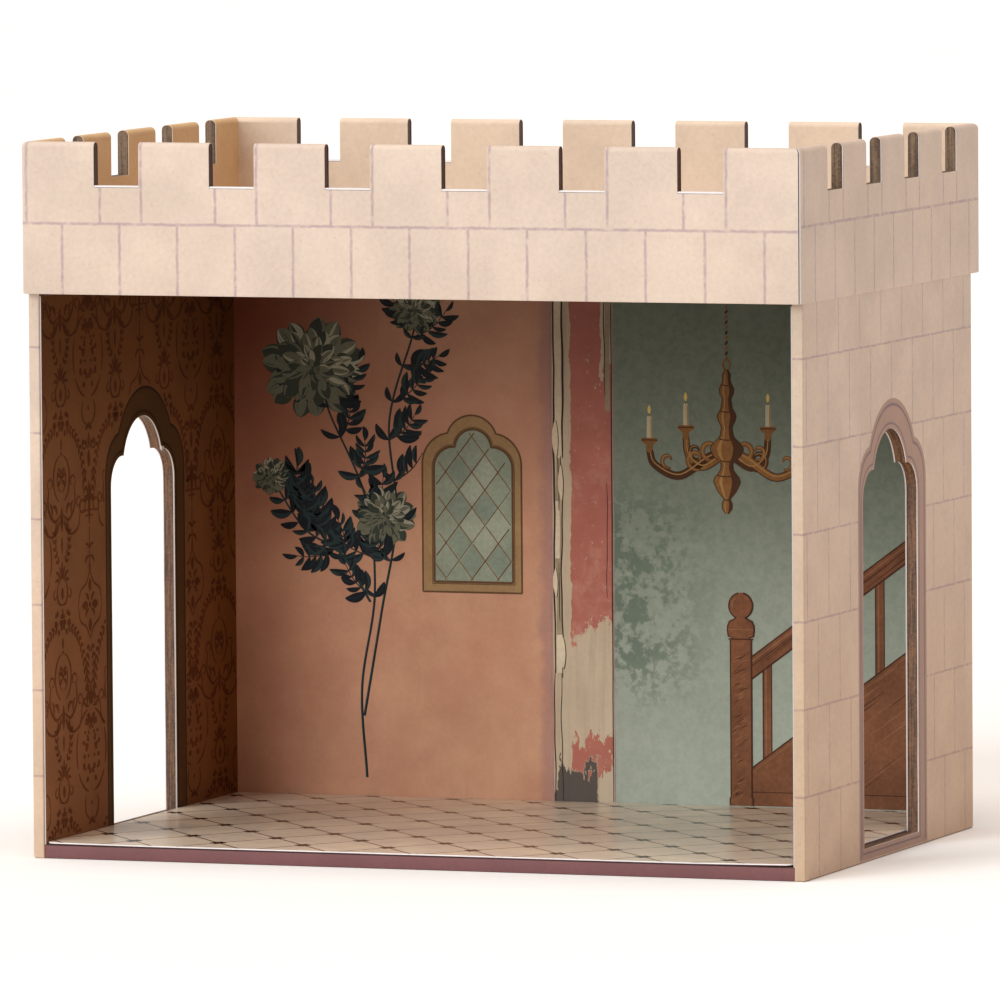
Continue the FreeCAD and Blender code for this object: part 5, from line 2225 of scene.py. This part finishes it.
@dataclass(frozen=True)
class Studio:
    """The pale floor, the soft lights and the camera."""

    yaw: float = 19.86712
    pitch: float = 4.28074
    roll: float = -0.40
    distance: float = 4856.148
    aim: tuple[float, float, float] = (-3.2, -9.7, 150.0)
    lens: float = 428.32
    sensor: float = 36.0
    world: float = 0.42
    sky: Colour = (1.0, 0.91, 0.86)
    reach: float = 60.0
    lamps: tuple[tuple[str, float, float, float, float, Colour], ...] = (
        ("key", 24.0, 24.0, 36.0, 0.60, (0.84, 0.95, 1.0)),
        ("overhead", 0.0, 82.0, 40.0, 0.62, (1.0, 0.94, 0.89)))

    def camera(self) -> None:
        """Sets the camera: it looks along fwd from distance behind its aim, and is rolled
        about that line. aim is an offset to the right, one up and the height of the aim."""
        yaw, pitch, roll = (math.radians(a) for a in (self.yaw, self.pitch, self.roll))
        fwd = Vector((-math.sin(yaw) * math.cos(pitch), math.cos(yaw) * math.cos(pitch),
                      -math.sin(pitch)))
        right = Vector((math.cos(yaw), math.sin(yaw), 0))
        up = right.cross(fwd)
        across = math.cos(roll) * right + math.sin(roll) * up
        above = -math.sin(roll) * right + math.cos(roll) * up
        target = Vector((0, 0, self.aim[2])) + right * self.aim[0] + up * self.aim[1]
        eye = (target - fwd * self.distance) * MM
        data = bpy.data.cameras.new("camera")
        data.lens, data.sensor_width = self.lens, self.sensor
        data.clip_start, data.clip_end = 0.1, 200.0
        made = bpy.data.objects.new("camera", data)
        turn = Matrix((across, above, -fwd)).transposed()
        made.matrix_world = Matrix.Translation(eye) @ turn.to_4x4()
        bpy.context.scene.collection.objects.link(made)
        bpy.context.scene.camera = made

    def lamp(self, name: str, azimuth: float, elevation: float, spread: float,
             power: float, colour: Colour) -> None:
        """Adds a far, wide lamp, which lights the whole floor as evenly as the castle.

        Args:
            name: The lamp's name.
            azimuth: Its direction, from the front towards the left, in degrees.
            elevation: Its height above the horizon, in degrees.
            spread: The angle that it fills, in degrees.
            power: How bright it makes a white surface that faces it.
            colour: Its colour.
        """
        data = bpy.data.lights.new(name, "SUN")
        data.energy, data.angle = power * math.pi, math.radians(spread)
        data.color = colour
        made = bpy.data.objects.new(name, data)
        a, e = math.radians(azimuth), math.radians(elevation)
        toward = Vector((math.sin(a) * math.cos(e), math.cos(a) * math.cos(e), -math.sin(e)))
        made.rotation_euler = toward.to_track_quat("-Z", "Y").to_euler()
        made.location = -toward
        bpy.context.scene.collection.objects.link(made)

    def floor(self) -> None:
        """Lays the pale floor, which is the picture's background too."""
        surface_material = Sheet("studio_floor", 0.9)
        tone = surface_material.mix(surface_material.noise(3.0), (0.93, 0.91, 0.89),
                                    (0.95, 0.93, 0.91))
        mesh = bpy.data.meshes.new("studio_floor")
        r = self.reach
        mesh.from_pydata([(-r, -r, -1e-4), (r, -r, -1e-4), (r, r, -1e-4), (-r, r, -1e-4)], [],
                         [(0, 1, 2, 3)])
        mesh.materials.append(surface_material.paint(tone))
        made = bpy.data.objects.new("studio_floor", mesh)
        bpy.context.scene.collection.objects.link(made)

    def light(self) -> None:
        """Sets a warm world, a large cool key from the front left and a light above."""
        world = bpy.data.worlds.new("studio")
        world.use_nodes = True
        sky = world.node_tree.nodes["Background"]
        sky.inputs["Color"].default_value = (*self.sky, 1.0)
        sky.inputs["Strength"].default_value = self.world
        bpy.context.scene.world = world
        for lamp in self.lamps:
            self.lamp(*lamp)
        bpy.context.scene.view_settings.view_transform = "Standard"


def main() -> None:
    """Builds the castle round its frame, piece by piece."""
    logging.basicConfig(level=logging.INFO, format="%(name)s %(message)s")
    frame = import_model()
    LOG.info("frame with %d nodes", len(frame["nodes"]))
    studio, palette, floor, boards = Studio(), Palette(), Floor(), FlatBoards()
    cards = [SideCard(-1.0, "left_wall_card"), SideCard(1.0, "right_wall_card")]
    studio.camera()
    studio.floor()
    studio.light()
    WallShell().build(palette)
    Crown().build(palette)
    floor.board(palette)
    floor.tile_card(palette)
    for card in cards:
        card.build(palette)
    boards.roof(palette)
    boards.back_card(palette)
    for drawn in (*map(Damask, cards), TornFleck(), WeatheredUpright(), LeadedWindow(),
                  PaintedBough(), PaintedStair(), CandleLight()):
        drawn.build(palette)


if __name__ == "__main__":
    main()
